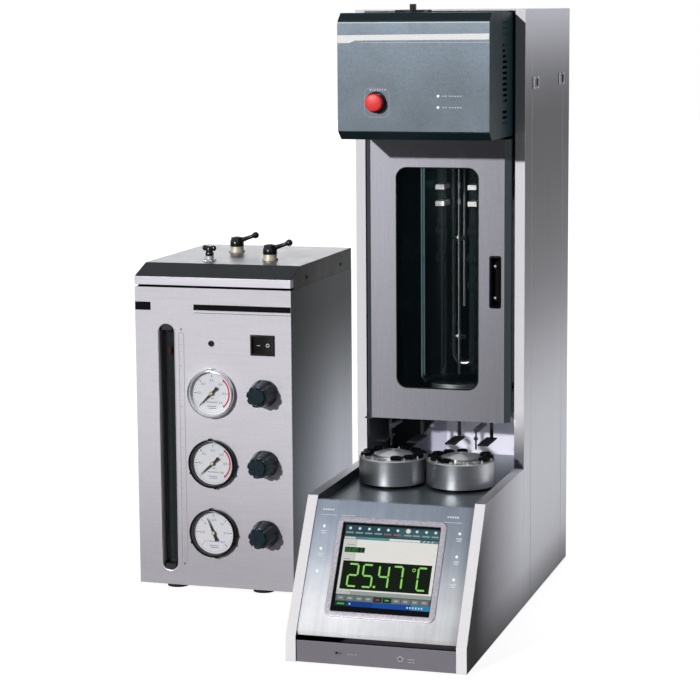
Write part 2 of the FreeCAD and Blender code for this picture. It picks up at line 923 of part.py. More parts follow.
def door_hinges():
    """Two pivot brackets on the left side wall, each with a pin into the door."""
    solids = []
    for z, upper in ((lifted(door_bottom), False), (lifted(door_top), True)):
        leaf_z = z + hinge_gap if upper else z - hinge_gap - hinge_leaf
        tab = box(-inner_x, hinge_x() + hinge_pin_radius + 1.5, hinge_pin_y - 5,
                  tower_front + hinge_leaf_width, leaf_z, leaf_z + hinge_leaf)
        pin_z = z - hinge_pin_length if upper else leaf_z
        pin = rod(hinge_pin_radius, (hinge_x(), hinge_pin_y, pin_z),
                  hinge_pin_length + hinge_gap + hinge_leaf)
        top = leaf_z + hinge_leaf
        plate = box(-inner_x, -inner_x + hinge_leaf, tower_front + 3.0,
                    tower_front + hinge_leaf_width, top - hinge_leaf_height, top)
        solids.append(fused([tab, pin, plate]))
    return joined(solids)


# Head over the door

def head_outline(inset):
    """The head's side outline: bevelled top and bottom, open to the tower."""
    low = lifted(head_bottom) + inset
    high = lifted(head_top) - inset
    front = head_front + head_panel_thick + inset
    cut_y = head_bevel_y - head_panel_thick
    cut_z = head_bevel_z * cut_y / head_bevel_y
    return [(tower_front + inset, low), (front + cut_y, low), (front, low + cut_z),
            (front, high - cut_z), (front + cut_y, high), (tower_front + inset, high)]


def vent_slots(side):
    """Cooling slots in the head's side, in three groups one above the other."""
    outer = side * (head_width / 2 + 1)
    inner = side * (head_width / 2 - 2 * head_skin)
    slots = []
    z = lifted(vent_top)
    for group in vent_slot_counts:
        for _ in range(group):
            slots.append(box(min(outer, inner), max(outer, inner), vent_y - vent_length / 2,
                             vent_y + vent_length / 2, z - vent_height / 2, z + vent_height / 2))
            z -= vent_pitch
        z -= vent_group_gap
    return slots


def head_cover():
    """The folded cover over the bath head, with cooling slots in both sides."""
    half = head_width / 2
    outer = side_prism(head_outline(0.0), -half, half)
    inner = side_prism(head_outline(head_skin), head_skin - half, half - head_skin)
    cover = outer.cut(inner)
    for side in (-1, 1):
        near = side * (half - head_skin)
        far = side * inner_x
        ear = box(min(near, far), max(near, far), tower_front - 1.0, tower_front + head_ear,
                  lifted(head_bottom), lifted(head_top))
        front = box(min(near, far), max(near, far), tower_front - 1.0, tower_front,
                    lifted(head_bottom), lifted(head_top))
        cover = cover.fuse(ear.cut(front)).removeSplitter()
    cover = cover.cut(joined(vent_slots(-1) + vent_slots(1)))
    hole = rod(button_stem + 1.5, (button_x, head_front - 1, lifted(button_z)), 10, Y_AXIS)
    lamps = [rod(lamp_radius, (head_lamp_x, head_front - 1, lifted(z)), 10, Y_AXIS)
             for z in head_lamp_z]
    return cover.cut(joined([hole] + lamps))


def head_panel():
    """The flat front plate of the head, with the button's and lamps' holes."""
    low = lifted(head_bottom + head_bevel_z)
    high = lifted(head_top - head_bevel_z)
    plate = box(-head_width / 2, head_width / 2, head_front, head_front + head_panel_thick,
                low, high)
    hole = rod(button_stem + shaft_fit, (button_x, head_front - 1, lifted(button_z)), 10, Y_AXIS)
    lamps = [rod(lamp_radius, (head_lamp_x, head_front - 1, lifted(z)), 10, Y_AXIS)
             for z in head_lamp_z]
    return plate.cut(joined([hole] + lamps))


def push_button():
    """The round push button, its stem guided by the head's front plate."""
    face_y = head_front - button_rise - button_height
    head = rod(button_radius, (button_x, face_y, lifted(button_z)), button_height, Y_AXIS)
    rim = [e for e in head.Edges if e.Curve.TypeId == "Part::GeomCircle"
           and abs(e.CenterOfMass.y - face_y) < 0.01]
    head = head.makeFillet(button_height * 0.25, rim)
    stem = rod(button_stem, (button_x, face_y + button_height - 1, lifted(button_z)),
               button_stem_length + 1, Y_AXIS)
    return fused([head, stem])


def top_cap():
    """The round filling cover on the head's top, with its grip knob."""
    plate = rod(cap_radius, (cap_x, cap_y, lifted(head_top)), cap_height)
    knob = rod(cap_knob_radius, (cap_x, cap_y, lifted(head_top)), cap_height + cap_knob_height)
    return fused([plate, knob])


def socket_shell(y):
    """The outer block of one data socket, let into the right side wall."""
    x = main_width / 2
    return box(x - socket_depth, x + socket_shell_rise, y - socket_shell_width / 2,
               y + socket_shell_width / 2, lifted(socket_z) - socket_shell_height / 2,
               lifted(socket_z) + socket_shell_height / 2)


def side_sockets():
    """Two data sockets high on the right side: a bright flange, a shell and its tongue."""
    solids = []
    x = main_width / 2
    wall = socket_shell_wall
    for y in (socket_first_y, socket_second_y):
        flange = box(x, x + socket_rise, y - socket_width / 2, y + socket_width / 2,
                     lifted(socket_z) - socket_height / 2, lifted(socket_z) + socket_height / 2)
        shell = socket_shell(y)
        edge = shell.BoundBox
        mouth = box(edge.XMin + wall, edge.XMax + 1, edge.YMin + wall, edge.YMax - wall,
                    edge.ZMin + wall, edge.ZMax - wall)
        tongue = box(edge.XMin, edge.XMax - 2 * wall, edge.YMin + 3 * wall,
                     edge.YMax - 3 * wall, lifted(socket_z), lifted(socket_z) + 2 * wall)
        solids.append(fused([fused([flange, shell]).cut(mouth), tongue]))
    return joined(solids)


def indicator_leds():
    """All indicator lamps: two on the head, six on the panel, one on the supply."""
    lamps = [rod(lamp_radius, (head_lamp_x, head_front - lamp_rise, lifted(z)),
                 lamp_length, Y_AXIS) for z in head_lamp_z]
    for x in (-panel_lamp_x, panel_lamp_x):
        for up in panel_lamp_up:
            lamp = rod(lamp_radius, (x, up, lamp_rise - panel_recess - lamp_length), lamp_length)
            lamps.append(on_slope(lamp, 0.0))
    lamps.append(rod(supply_lamp_radius, (supply_mid_x + gauge_offset, supply_front_y - lamp_rise,
                                          lifted(switch_z)), lamp_length, Y_AXIS))
    return joined(lamps)


# Feet and rear connections

def foot_spots():
    """Feet of both cabinets: (x, y, radius, height)."""
    spots = []
    for x in (-main_width / 2 + pad_inset, main_width / 2 - pad_inset):
        for y in (pad_inset, main_depth - pad_inset):
            spots.append((x, y, pad_radius, pad_height))
    for x in (supply_left_x + supply_foot_inset_x, supply_right_x - supply_foot_inset_x):
        for y in (supply_front_y + supply_foot_inset_y, supply_back_y - supply_foot_inset_y):
            spots.append((x, y, supply_foot_radius, supply_foot))
    return spots


def rubber_feet():
    """Low pads under the main cabinet and taller feet under the supply cabinet."""
    return joined([rod(radius, (x, y, 0), height) for x, y, radius, height in foot_spots()])


def mains_inlet(x, y, z):
    """A panel inlet with a recessed mouth and three blades."""
    flange = box(x - inlet_width / 2, x + inlet_width / 2, y, y + inlet_rise,
                 z - inlet_height / 2, z + inlet_height / 2)
    half_w = inlet_mouth_width / 2 + 2
    half_h = inlet_mouth_height / 2 + 2
    cup_y = y + inlet_rise - inlet_depth - 2
    cup = box(x - half_w, x + half_w, cup_y, y, z - half_h, z + half_h)
    mouth = box(x - half_w + 2, x + half_w - 2, y + inlet_rise - inlet_depth, y + inlet_rise + 1,
                z - half_h + 2, z + half_h - 2)
    blades = [box(x + step * inlet_blade_pitch - inlet_blade_width / 2,
                  x + step * inlet_blade_pitch + inlet_blade_width / 2,
                  cup_y + 1, cup_y + 2 + inlet_blade_length,
                  z - inlet_blade_height / 2, z + inlet_blade_height / 2) for step in (-1, 0, 1)]
    return fused([fused([flange, cup]).cut(mouth)] + blades)


def air_port(x, y, z):
    """A push-in hose port that stands on a back wall, with its release ring."""
    body = rod(port_radius, (x, y, z), port_length, Y_AXIS)
    ring = rod(port_ring_radius, (x, y, z), port_length + port_ring_length, Y_AXIS)
    end = y + port_length + port_ring_length
    bore = rod(port_bore, (x, end - port_depth, z), port_depth + 1, Y_AXIS)
    return fused([body, ring]).cut(bore)


def rear_fittings():
    """Mains inlets and hose ports on both back walls."""
    solids = []
    for middle_x, back_y in ((0.0, main_depth), (supply_mid_x, supply_back_y)):
        solids.append(mains_inlet(middle_x + inlet_x, back_y, lifted(inlet_z)))
        for index in range(port_count):
            x = middle_x + port_x + index * port_pitch
            solids.append(air_port(x, back_y, lifted(port_z)))
    return joined(solids)


def inlet_hole(middle_x, back_y):
    """The cut-out that an inlet's cup passes through."""
    half_w = inlet_mouth_width / 2 + 2
    half_h = inlet_mouth_height / 2 + 2
    x = middle_x + inlet_x
    return box(x - half_w, x + half_w, back_y - 40, back_y + 5, lifted(inlet_z) - half_h,
               lifted(inlet_z) + half_h)


# Supply cabinet

def supply_shell():
    """The cabinet's floor, sides and back as one folded wrap."""
    low = supply_foot
    high = lifted(supply_body_top)
    front = supply_front_y + sheet
    outer = box(supply_left_x, supply_right_x, front, supply_back_y, low, high)
    inner = box(supply_left_x + sheet, supply_right_x - sheet, front - 1,
                supply_back_y - sheet, low + sheet, high + 1)
    return outer.cut(inner).cut(inlet_hole(supply_mid_x, supply_back_y))


def gauge_spots():
    """The gauge centres from the lowest to the highest: (x, z)."""
    x = supply_mid_x + gauge_offset
    return [(x, lifted(gauge_low_z + index * gauge_pitch)) for index in range(gauge_count)]


def knob_spots():
    """The regulator knob centres beside the gauges: (x, z)."""
    return [(supply_mid_x + knob_offset, z + knob_above_gauge) for _, z in gauge_spots()]


def slot_x():
    """The level window's upright centre line."""
    return supply_mid_x + slot_offset


def supply_front():
    """The brushed front panel with its window slot, gauge, knob, lamp and switch holes."""
    plate = box(supply_left_x, supply_right_x, supply_front_y, supply_front_y + sheet,
                supply_foot, lifted(supply_body_top))
    slot = upright_slab(slot_width, slot_top - slot_bottom, 4 * sheet, slot_width / 2 - 0.01,
                        (slot_x(), supply_front_y - sheet, lifted((slot_bottom + slot_top) / 2)))
    cuts = [slot]
    for x, z in gauge_spots():
        cuts.append(rod(gauge_case_radius, (x, supply_front_y - 1, z), 10, Y_AXIS))
    for x, z in knob_spots():
        cuts.append(rod(knob_stem + 2.0, (x, supply_front_y - 1, z), 10, Y_AXIS))
    cuts.append(rod(supply_lamp_radius, (supply_mid_x + gauge_offset, supply_front_y - 1,
                                         lifted(switch_z)), 10, Y_AXIS))
    half_w = switch_width / 2 - 1.5
    half_h = switch_height / 2 - 1.5
    x = supply_mid_x + switch_offset
    cuts.append(box(x - half_w, x + half_w, supply_front_y - 1, supply_front_y + 5,
                    lifted(switch_z) - half_h, lifted(switch_z) + half_h))
    return plate.cut(joined(cuts))


def supply_lid():
    """The lid: a bevelled front, a flat top and skirts down over the sides."""
    low = lifted(trim_low + trim_height)
    high = lifted(supply_lid_top)
    skirt = lifted(supply_body_top)
    front = supply_front_y
    outline = [(front, low), (front + lid_bevel_run, high), (supply_back_y, high),
               (supply_back_y, skirt), (front + trim_depth, skirt), (front + trim_depth, low)]
    inset = [(front + 3 * sheet, low - 1), (front + lid_bevel_run, high - sheet),
             (supply_back_y - sheet, high - sheet), (supply_back_y - sheet, skirt - 1),
             (front + trim_depth + sheet, skirt - 1), (front + trim_depth + sheet, low - 1)]
    outer = side_prism(outline, supply_left_x, supply_right_x)
    inner = side_prism(inset, supply_left_x + sheet, supply_right_x - sheet)
    holes = [rod(lever_stem + 0.5, (supply_mid_x + x, front + y, high - 10), 20)
             for x, y in lever_spots + (vent_spot,)]
    return outer.cut(inner).cut(joined(holes))


def lid_trim():
    """The bright strip between the front panel and the lid."""
    return box(supply_left_x, supply_right_x, supply_front_y, supply_front_y + trim_depth,
               lifted(trim_low), lifted(trim_low + trim_height))


def level_tube():
    """The glass sight tube behind the level window."""
    y = supply_front_y + level_tube_setback
    low = lifted(slot_bottom + level_end_height / 2)
    high = lifted(slot_top - level_end_height / 2)
    outer = rod(level_tube_radius, (slot_x(), y, low), high - low)
    return outer.cut(rod(level_tube_radius - level_tube_wall, (slot_x(), y, low - 1),
                         high - low + 2))


def level_float():
    """The float inside the sight tube."""
    y = supply_front_y + level_tube_setback
    body = rod(float_radius, (slot_x(), y, lifted(float_z)), float_height)
    return body.makeChamfer(0.8, [e for e in body.Edges if e.Curve.TypeId == "Part::GeomCircle"])


def supply_tank():
    """The upright liquid tank, with the two elbows that feed the sight tube."""
    x = supply_mid_x + tank_offset_x
    y = supply_front_y + tank_offset_y
    low = supply_foot + sheet
    tank = rod(tank_radius, (x, y, low), tank_height)
    rim = [e for e in tank.Edges if e.Curve.TypeId == "Part::GeomCircle"
           and e.CenterOfMass.z > low + 1]
    return tank.makeFillet(tank_low, rim)


def level_ends():
    """The blocks that close both ends of the sight tube, fixed behind the front panel."""
    solids = []
    half = level_end_width / 2
    y = supply_front_y + level_tube_setback
    low_tube = lifted(slot_bottom + level_end_height / 2)
    high_tube = lifted(slot_top - level_end_height / 2)
    for start in (low_tube - level_end_height * 1.4, high_tube - level_end_height * 0.1):
        z1 = start + level_end_height * 1.5
        block = box(slot_x() - half, slot_x() + half, supply_front_y + sheet, y + half, start, z1)
        socket_low = low_tube if start < low_tube - 1 else start - 1
        socket_high = z1 + 1 if start < low_tube - 1 else high_tube
        block = block.cut(rod(level_tube_radius, (slot_x(), y, socket_low),
                              socket_high - socket_low))
        solids.append(block)
    return solids


def regulators():
    """Three pressure regulators behind the front panel, each with a nut in front of it."""
    solids = []
    for x, z in knob_spots():
        body = rod(regulator_radius, (x, supply_front_y + sheet, z), regulator_depth, Y_AXIS)
        neck = rod(knob_stem + 2.0, (x, supply_front_y - regulator_nut_height, z),
                   regulator_nut_height + sheet + 1, Y_AXIS)
        nut = rod(regulator_nut_radius, (x, supply_front_y - regulator_nut_height, z),
                  regulator_nut_height, Y_AXIS)
        bore = rod(knob_stem + shaft_fit, (x, supply_front_y - 10, z), knob_stem_length + 12,
                   Y_AXIS)
        solids.append(fused([body, neck, nut]).cut(bore))
    return solids


def lid_valves():
    """The brass bases of the two lever valves and the star-shaped base of the vent."""
    solids = []
    top = lifted(supply_lid_top)
    for dx, dy in lever_spots:
        x = supply_mid_x + dx
        y = supply_front_y + dy
        foot = rod(valve_base_radius, (x, y, top), valve_base_height * 0.4)
        waist = rod(valve_base_waist, (x, y, top), valve_base_height)
        tail = rod(lever_stem + 0.5, (x, y, top - 2 * sheet), 2 * sheet)
        bore = rod(lever_stem - 1.0 + shaft_fit, (x, y, top + valve_base_height
                                                  - lever_stem_length - 1),
                   lever_stem_length + 3)
        solids.append(fused([foot, waist, tail]).cut(bore))
    x = supply_mid_x + vent_spot[0]
    y = supply_front_y + vent_spot[1]
    star = []
    for step in range(2 * vent_points):
        radius = vent_base_radius if step % 2 == 0 else vent_base_radius * 0.62
        turn = math.radians(step * 180.0 / vent_points)
        star.append((x + radius * math.cos(turn), y + radius * math.sin(turn)))
    base = plan_prism(star, top, top + vent_base_height * 0.4)
    neck = rod(vent_knob_radius, (x, y, top), vent_base_height)
    bore = rod(vent_stem + shaft_fit, (x, y, top + vent_base_height - lever_stem_length - 0.5),
               lever_stem_length + 3)
    solids.append(fused([base, neck]).cut(bore))
    return solids


def valve_bodies():
    """All brass bodies of the air system: regulators, lid valves and sight-tube ends."""
    return joined(regulators() + lid_valves() + level_ends())


def gauge_cases():
    """Three gauge cases, each a cup with a bezel, a dial floor and a spindle hole."""
    solids = []
    front = supply_front_y - gauge_rise
    for x, z in gauge_spots():
        case = rod(gauge_case_radius, (x, front + 2, z), gauge_case_depth, Y_AXIS)
        bezel = rod(gauge_bezel_radius, (x, front, z), gauge_rise, Y_AXIS)
        rim = [e for e in bezel.Edges if e.Curve.TypeId == "Part::GeomCircle"
               and abs(e.CenterOfMass.y - front) < 0.01]
        bezel = bezel.makeFillet(gauge_bezel_wall * 0.6, rim)
        hollow = rod(gauge_bezel_radius - gauge_bezel_wall, (x, front - 1, z), dial_sink + 1,
                     Y_AXIS)
        bore = rod(hand_stem + shaft_fit, (x, dial_y - 1, z), hand_stem_length + 3, Y_AXIS)
        solids.append(fused([case, bezel]).cut(hollow).cut(bore))
    return joined(solids)


def gauge_lenses():
    """The gauges' clear windows."""
    front = supply_front_y - gauge_rise + lens_sink
    radius = gauge_bezel_radius - gauge_bezel_wall
    return joined([rod(radius, (x, front, z), lens_thick, Y_AXIS) for x, z in gauge_spots()])


def gauge_hand(index):
    """A pointer with a tail, on a spindle that runs in its gauge."""
    x, z = gauge_spots()[index]
    outline = [(hand_length, 0.25), (0, hand_width / 2), (-hand_tail, hand_width),
               (-hand_tail, -hand_width), (0, -hand_width / 2), (hand_length, -0.25)]
    pointer = plan_prism(outline, 0, hand_thick)
    hub = rod(hand_hub, (0, 0, 0), hand_thick * 1.6)
    stem = rod(hand_stem, (0, 0, -hand_stem_length), hand_stem_length + hand_thick)
    hand = fused([pointer, hub, stem])
    hand.rotate(Vec(0, 0, 0), Z_AXIS, hand_angles[index])
    hand.rotate(Vec(0, 0, 0), X_AXIS, 90)
    hand.translate(Vec(x, dial_y - hand_gap, z))
    return hand


def regulator_knob(index):
    """A tapered, fluted regulator knob with its stem."""
    x, z = knob_spots()[index]
    body = Part.makeCone(knob_radius, knob_front_radius, knob_length)
    flutes = []
    for step in range(knob_flutes):
        turn = math.radians(step * 360.0 / knob_flutes + 11.0)
        low = (knob_radius + knob_flute_radius - knob_flute_depth)
        high = (knob_front_radius + knob_flute_radius - knob_flute_depth)
        start = Vec(low * math.cos(turn), low * math.sin(turn), 0)
        end = Vec(high * math.cos(turn), high * math.sin(turn), knob_length)
        run = end - start
        flutes.append(Part.makeCylinder(knob_flute_radius, run.Length * 1.2, start - run * 0.1,
                                        run))
    body = body.cut(joined(flutes))
    cap = rod(knob_cap_radius, (0, 0, knob_length - 1), knob_cap_rise + 1)
    rim = [e for e in cap.Edges if e.Curve.TypeId == "Part::GeomCircle"
           and e.CenterOfMass.z > knob_length]
    cap = cap.makeChamfer(0.8, rim)
    stem = rod(knob_stem, (0, 0, -knob_stem_length), knob_stem_length + 1)
    knob = fused([body, cap, stem])
    knob.rotate(Vec(0, 0, 0), X_AXIS, 90)
    knob.translate(Vec(x, supply_front_y - regulator_nut_height - knob_gap, z))
    return knob


def switch_frame():
    """The rocker switch's frame and body, with the rocker's pivot holes."""
    x = supply_mid_x + switch_offset
    z = lifted(switch_z)
    front = supply_front_y - switch_rise
    half_w = switch_width / 2
    half_h = switch_height / 2
    flange = box(x - half_w, x + half_w, front, supply_front_y, z - half_h, z + half_h)
    lip = [e for e in flange.Edges if max(v.Point.y for v in e.Vertexes) < front + 0.01]
    flange = flange.makeChamfer(switch_rise * 0.3, lip)
    body = box(x - half_w + 1.5, x + half_w - 1.5, supply_front_y, supply_front_y
               + switch_body_depth, z - half_h + 1.5, z + half_h - 1.5)
    hollow = box(x - half_w + switch_wall, x + half_w - switch_wall, front - 1,
                 supply_front_y + switch_body_depth - 3, z - half_h + switch_wall,
                 z + half_h - switch_wall)
    pivot = rod(rocker_pivot + shaft_fit, (x, supply_front_y + rocker_axis_setback, z
                                           - half_h + switch_wall - rocker_pivot_depth - 0.2),
                2 * (half_h - switch_wall + rocker_pivot_depth + 0.2))
    return fused([flange, body]).cut(hollow).cut(pivot)


def rocker():
    """The rocker, tipped to one side, with its two pivot pins."""
    x = supply_mid_x + switch_offset
    z = lifted(switch_z)
    axis_y = supply_front_y + rocker_axis_setback
    half_h = switch_height / 2 - switch_wall - free_gap
    outline = [(-rocker_half, -rocker_front), (0, -rocker_front + rocker_ridge),
               (rocker_half, -rocker_front), (rocker_half * 0.8, rocker_back),
               (-rocker_half * 0.8, rocker_back)]
    body = plan_prism(outline, -half_h, half_h)
    reach = switch_height / 2 - switch_wall + rocker_pivot_depth
    pins = rod(rocker_pivot, (0, 0, -reach), 2 * reach)
    body = fused([body, pins])
    body.rotate(Vec(0, 0, 0), Z_AXIS, rocker_tilt)
    body.translate(Vec(x, axis_y, z))
    return body


def clamp_lever(index):
    """A hub with a slanting ball-ended arm, on top of its valve."""
    dx, dy = lever_spots[index]
    low = valve_base_height + free_gap
    hub = Part.makeCone(lever_hub_radius, lever_hub_radius * 0.86, lever_hub_height,
                        Vec(0, 0, low), Z_AXIS)
    ball_z = low + lever_hub_height + lever_lift - 3.0
    start = Vec(0, 0, low + lever_hub_height * 0.55)
    end = Vec(lever_reach, 0, ball_z)
    run = end - start
    arm = Part.makeCone(lever_arm * 1.25, lever_arm * 0.8, run.Length, start, run)
    ball = Part.makeSphere(lever_ball, end)
    stem = rod(lever_stem - 1.0, (0, 0, low - lever_stem_length), lever_stem_length + 1)
    lever = fused([hub, arm, ball, stem])
    lever.rotate(Vec(0, 0, 0), Z_AXIS, lever_angle)
    lever.translate(Vec(supply_mid_x + dx, supply_front_y + dy, lifted(supply_lid_top)))
    return lever


def vent_knob():
    """The small winged knob of the vent valve."""
    low = vent_base_height + free_gap
    stem = rod(vent_stem, (0, 0, low - lever_stem_length), lever_stem_length + 1)
    neck = rod(vent_knob_radius, (0, 0, low), vent_knob_height)
    wing_low = low + vent_knob_height - vent_wing_height * 0.3
    wing = round_slab(2 * vent_wing, vent_wing_width, vent_wing_height, vent_wing_width * 0.45)
    wing.translate(Vec(0, 0, wing_low))
    knob = fused([stem, neck, wing])
    knob.translate(Vec(supply_mid_x + vent_spot[0], supply_front_y + vent_spot[1],
                       lifted(supply_lid_top)))
    return knob


def back_cut(cover):
    """Opens the tower's back sheet for its mains inlet."""
    return cover.cut(inlet_hole(0.0, main_depth))


def build_parts():
    """Every node's shape by name, with X = 0 at the main cabinet's middle."""
    shapes = {
        "base_pan": base_pan(),
        "cheek_left": cheek(-1),
        "cheek_right": cheek(1),
        "tower_side_left": tower_side(-1),
        "tower_side_right": tower_side(1),
        "tower_cover": back_cut(tower_cover()),
        "control_panel": control_panel(),
        "carousel_deck": carousel_deck(),
        "inner_panels": inner_panels(),
        "bath_plate": bath_plate(),
        "screen_bezel": screen_bezel(),
        "touch_screen": touch_screen(),
        "carousel_left": carousel(-1),
        "carousel_right": carousel(1),
        "vials_left": vials(-1),
        "vials_right": vials(1),
        "carousel_motors": carousel_motors(),
        "needle_left": needle(-1),
        "needle_right": needle(1),
        "sensor_arms": sensor_arms(),
        "bath_jar": bath_jar(),
        "bath_head": bath_head(),
        "viscometer_tubes": viscometer_tubes(),
        "tube_clips": tube_clips(),
        "stirrer": stirrer(),
        "stirrer_motor": stirrer_motor(),
        "bath_heater": bath_heater(),
        "door_shell": door_shell(),
        "door_glass": door_glass(),
        "door_handle": door_handle(),
        "door_hinges": door_hinges(),
        "head_cover": head_cover(),
        "head_panel": head_panel(),
        "push_button": push_button(),
        "top_cap": top_cap(),
        "side_sockets": side_sockets(),
        "indicator_leds": indicator_leds(),
        "rubber_feet": rubber_feet(),
        "rear_fittings": rear_fittings(),
        "supply_shell": supply_shell(),
        "supply_front": supply_front(),
        "supply_lid": supply_lid(),
        "lid_trim": lid_trim(),
        "level_tube": level_tube(),
        "level_float": level_float(),
        "supply_tank": supply_tank(),
        "valve_bodies": valve_bodies(),
        "gauge_cases": gauge_cases(),
        "gauge_lenses": gauge_lenses(),
        "switch_frame": switch_frame(),
        "rocker": rocker(),
        "vent_knob": vent_knob(),
    }
    for index in range(gauge_count):
        shapes["gauge_hand_" + str(index + 1)] = gauge_hand(index)
        shapes["regulator_knob_" + str(index + 1)] = regulator_knob(index)
    for index in range(len(lever_spots)):
        shapes["clamp_lever_" + str(index + 1)] = clamp_lever(index)
    return shapes


def row_origin():
    """The middle of the whole set's footprint, on the table."""
    right = main_width / 2 + socket_shell_rise
    back = main_depth + port_length + port_ring_length
    return Vec((supply_left_x + right) / 2, back / 2, 0)


def main():
    """Builds every node and writes it as its own file."""
    os.makedirs("parts", exist_ok=True)
    shift = row_origin() * -1
    for name, shape in build_parts().items():
        placed = shape.copy()
        placed.translate(shift)
        placed.exportStep("parts/" + name + ".step")


main()
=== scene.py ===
import json
import math

import bmesh
import bpy
import numpy as np
from bpy.props import (FloatProperty, FloatVectorProperty, IntProperty, PointerProperty,
                       StringProperty)
from mathutils import Matrix, Vector

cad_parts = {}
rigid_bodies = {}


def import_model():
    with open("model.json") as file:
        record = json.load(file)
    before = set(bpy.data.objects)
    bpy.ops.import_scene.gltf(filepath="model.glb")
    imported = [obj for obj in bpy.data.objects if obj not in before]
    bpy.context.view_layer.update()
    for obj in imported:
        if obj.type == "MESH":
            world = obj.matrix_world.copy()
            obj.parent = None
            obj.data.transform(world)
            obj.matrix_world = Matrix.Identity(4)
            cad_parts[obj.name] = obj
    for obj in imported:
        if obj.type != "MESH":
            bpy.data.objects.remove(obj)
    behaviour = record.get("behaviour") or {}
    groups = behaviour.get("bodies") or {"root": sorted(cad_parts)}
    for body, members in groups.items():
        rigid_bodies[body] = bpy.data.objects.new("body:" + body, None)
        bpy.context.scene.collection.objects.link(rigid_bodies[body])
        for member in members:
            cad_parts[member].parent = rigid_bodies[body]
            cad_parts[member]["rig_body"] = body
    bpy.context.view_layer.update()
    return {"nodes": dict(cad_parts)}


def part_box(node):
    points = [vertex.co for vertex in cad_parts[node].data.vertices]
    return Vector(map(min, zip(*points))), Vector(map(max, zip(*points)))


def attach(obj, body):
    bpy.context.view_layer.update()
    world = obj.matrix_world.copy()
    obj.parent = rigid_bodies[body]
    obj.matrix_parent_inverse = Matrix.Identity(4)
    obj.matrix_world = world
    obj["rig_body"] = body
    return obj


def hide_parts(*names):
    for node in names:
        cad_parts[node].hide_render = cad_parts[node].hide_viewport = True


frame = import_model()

bl_info = {
    "name": "Viscosity tester pieces",
    "version": (1, 0, 0),
    "blender": (4, 5, 0),
    "location": "View3D > Sidebar > Tester",
    "description": "Builds the finished pieces of a kinematic viscosity tester round its frame",
    "category": "Add Mesh",
}

MM = 0.001
RIGHT, BACK, UP = np.eye(3)
FLAT = np.eye(2)
TURNS = {"Z": (RIGHT, BACK, UP), "Y": (RIGHT, UP, -BACK), "X": (BACK, UP, RIGHT)}

# Metres and degrees, if nothing else is said
SAME_POINT = 1e-7           # points this close are merged
SAME_CAD_POINT = 2e-6
SAME_PLANE = 0.3            # edges flatter than this are dissolved
SHEET_EDGE = 0.0004         # rounding of the thinner sheets' edges
FLOOR_HALF = 12.0
UPRIGHT_GRAIN = (900, 900, 10)
SCREEN_SLOPE = 57.93        # from level
SCREEN_FOOT = (0, 0, 32)    # millimetres on the main cabinet, where the slope starts
SCREEN_RISE = 0.0876        # from there up the slope to the screen's middle
POCKETS = 12                # in one carousel
FIRST_POCKET = 20.0         # from straight back
POCKET_CIRCLE = 0.0335
PIN_CIRCLE = 0.0385
OPEN_VIALS = (0, 4, 5)      # these have no ring cap
COLLAR_GAP = 0.0003         # between the button and its collar
GAUGE_LOWEST = 0.077        # height of the lowest gauge's middle
GAUGE_PITCH = 0.091
GAUGE_RADIUS = 0.0315
HAND_ANGLES = (113.0, 222.0, 224.0)
TICK = 9                    # between two marks of a dial
FLUTE_START = 0.19          # radians
ROCKER_TILT = 11
LEVER_TURN = 8
WING_TURN = -14
# Millimetres on the supply
SLOT_SPOT = (-62.7, 0, 185)
LAMP_SPOT = (-1.8, 0, 323)
LEVER_SPOTS = ((-29.6, 183.0, 0), (45.5, 98.0, 0))
VENT_SPOT = (-29.1, 73.5, 0)
LID_SCREWS = ((67, 403.5), (218, 403.5))


# Places that come from the frame

def corners(node):
    """Lowest and highest corner of a frame node as arrays, in metres."""
    return tuple(np.array(corner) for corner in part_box(node))


def middle(node):
    """Centre of a frame node's box, in metres."""
    return sum(corners(node)) / 2


def extent(node):
    """Width, depth and height of a frame node's box, in metres."""
    low, high = corners(node)
    return high - low


MAIN = np.array([middle("control_panel")[0], corners("cheek_left")[0][1], 0.0])
SUPPLY = np.array([middle("supply_front")[0], corners("supply_front")[0][1], 0.0])
LID = corners("supply_lid")


def on_main(points):
    """Millimetres from the main cabinet's middle, front and table, as metres in the row."""
    return MAIN + np.asarray(points, float) * MM


def on_supply(points):
    """Millimetres from the supply's middle, front face and table, as metres in the row."""
    return SUPPLY + np.asarray(points, float) * MM


# Mesh tools

def around(count):
    """Angles of one full turn, evenly spaced."""
    return np.linspace(0, 2 * np.pi, count, endpoint=False)


def circle(turn, first=RIGHT, second=BACK):
    """Cosine of the turn along one side plus its sine along the other."""
    turn = np.asarray(turn, float)[..., None]
    return np.cos(turn) * first + np.sin(turn) * second


def arc(radius, steps):
    """A quarter circle as (radius times sine, radius times cosine) pairs."""
    return [(radius * math.sin(turn), radius * math.cos(turn))
            for turn in np.linspace(0, np.pi / 2, steps)]


def grid_faces(rows, columns, closed=True):
    """Quads of a grid: each joins a point with the next along both ways; closed rows wrap."""
    row = np.arange(rows - 1)[:, None]
    column = np.arange(columns if closed else columns - 1)[None, :]
    beside = (column + 1) % columns
    return np.stack([row * columns + column, row * columns + beside,
                     (row + 1) * columns + beside, (row + 1) * columns + column],
                    -1).reshape(-1, 4)


def turned(profile, centre, axis="Z", segments=72):
    """Points and quads of a turned shape: radius times the circle of the turn, plus the height
    along the axis, for every profile pair (radius, height)."""
    profile = np.asarray(profile, float)
    first, second, along = TURNS[axis]
    points = (profile[:, :1, None] * circle(around(segments), first, second)
              + profile[:, 1:, None] * along)
    return points.reshape(-1, 3) + centre, grid_faces(len(profile), segments)


def together(parts):
    """Joins several (points, faces) pairs into one pair, counting the points on."""
    points, faces, count = [], [], 0
    for some_points, some_faces in parts:
        points.append(np.asarray(some_points, float))
        faces.extend([[int(i) + count for i in face] for face in some_faces])
        count += len(some_points)
    return np.concatenate(points), faces


